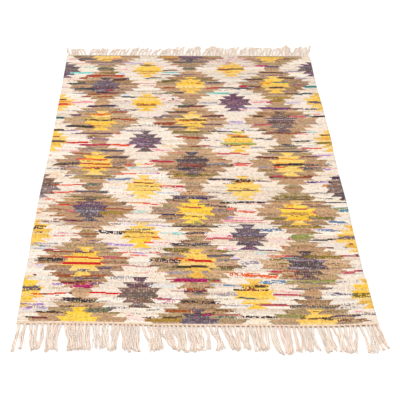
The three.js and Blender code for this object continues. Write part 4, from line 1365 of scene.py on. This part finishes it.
def yarn_material():
    n = Nodes("plied_cotton_yarn")
    length, groove, phase = n.split(n.attribute("ply").outputs["Vector"])
    place = n.combine(n.math("MULTIPLY", length, 0.35), n.math("MULTIPLY", phase, 3.0), groove)
    soft = n.noise(place, 1.0, 2.0)
    fibre = n.noise(n.combine(n.math("MULTIPLY", length, 2.2), groove, n.math("MULTIPLY", phase, 7.0)), 1.0, 3.0, 0.7)
    change = n.math("ADD", n.around(soft, 0.14), n.around(fibre, 0.14))
    # painted shade: the yarn is darker in the grooves between its plies
    change = n.math("SUBTRACT", n.math("ADD", 1.0, change), n.math("MULTIPLY", groove, 0.10))
    final = n.scale(n.attribute("yarn_a").outputs["Color"], change)
    rough = n.math("ADD", 0.86, n.around(soft, 0.14))
    height = n.math("SUBTRACT", n.math("MULTIPLY", fibre, 0.8), n.math("MULTIPLY", groove, 0.6))
    return n.finish(final, rough, height, 0.0006, 0.6, 0.06, 0.08)


def floor_material():
    n = Nodes("pale_floor")
    where = n.new("ShaderNodeTexCoord").outputs["Object"]
    grain = n.noise(where, 3.0, 4.0)
    value = n.math("ADD", 0.84, n.around(grain, 0.02))
    colour = n.combine(value, value, value)
    rough = n.math("ADD", 0.75, n.around(grain, 0.1))
    return n.finish(colour, rough, grain, 0.0002, 0.1, 0.0, 0.2)


# ---------------------------------------------------------------- the pieces

weave = weave_material()
yarn = yarn_material()

field = build_field()
field.data.materials.append(weave)
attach(field, "root")
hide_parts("field")

fringe_near = build_fringe("near_tassels", NEAR_TASSELS, near_edge, -1, 11, NEAR_GAP_PAINTED_SHADE, NEAR_TIED, NEAR_STRAYS)
fringe_far = build_fringe("far_tassels", FAR_TASSELS, far_edge, 1, 12, FAR_GAP_PAINTED_SHADE)
for piece, node in ((fringe_near, "fringe_near"), (fringe_far, "fringe_far")):
    piece.data.materials.append(yarn)
    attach(piece, "root")
    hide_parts(node)

# ------------------------------------------------------ floor, lights, camera

bpy.ops.mesh.primitive_plane_add(size=60, location=(0, 0, 0))
floor = bpy.context.active_object
floor.name = "floor"
floor.data.materials.append(floor_material())

world = bpy.data.worlds.new("soft_studio")
bpy.context.scene.world = world
world.use_nodes = True
world.node_tree.nodes["Background"].inputs["Color"].default_value = (1.0, 1.0, 1.0, 1.0)
world.node_tree.nodes["Background"].inputs["Strength"].default_value = 1.00


def area_light(name, place, target, size, watts, colour=(1.0, 1.0, 1.0)):
    data = bpy.data.lights.new(name, "AREA")
    data.shape = "SQUARE"
    data.size = size
    data.energy = watts
    data.color = colour
    obj = bpy.data.objects.new(name, data)
    obj.location = place
    obj.rotation_euler = (Vector(target) - Vector(place)).to_track_quat("-Z", "Y").to_euler()
    bpy.context.scene.collection.objects.link(obj)
    return obj


area_light("key", (-2.4, 0.9, 4.2), (0, 0, 0), 3.0, 100)
area_light("fill", (2.4, -2.2, 4.0), (0, 0, 0), 3.5, 80)

scene = bpy.context.scene
scene.view_settings.view_transform = "Standard"
scene.view_settings.look = "None"

camera_data = bpy.data.cameras.new("camera")
camera_data.sensor_width = 36
camera_data.lens = 76.44
camera_data.clip_start, camera_data.clip_end = 0.05, 60
camera = bpy.data.objects.new("camera", camera_data)
forward = Vector((0.03833, 0.77819, -0.62686)).normalized()
right_hand = Vector((0.99925, -0.02673, 0.02792)).normalized()
up = right_hand.cross(forward).normalized()
right_hand = forward.cross(up)
place = Vector((-0.10651, -2.84098, 2.09817)) + Vector((SHIFT[0] / 1000, SHIFT[1] / 1000, 0))
camera.matrix_world = Matrix((
    (right_hand.x, up.x, -forward.x, place.x),
    (right_hand.y, up.y, -forward.y, place.y),
    (right_hand.z, up.z, -forward.z, place.z),
    (0, 0, 0, 1),
))
scene.collection.objects.link(camera)
scene.camera = camera
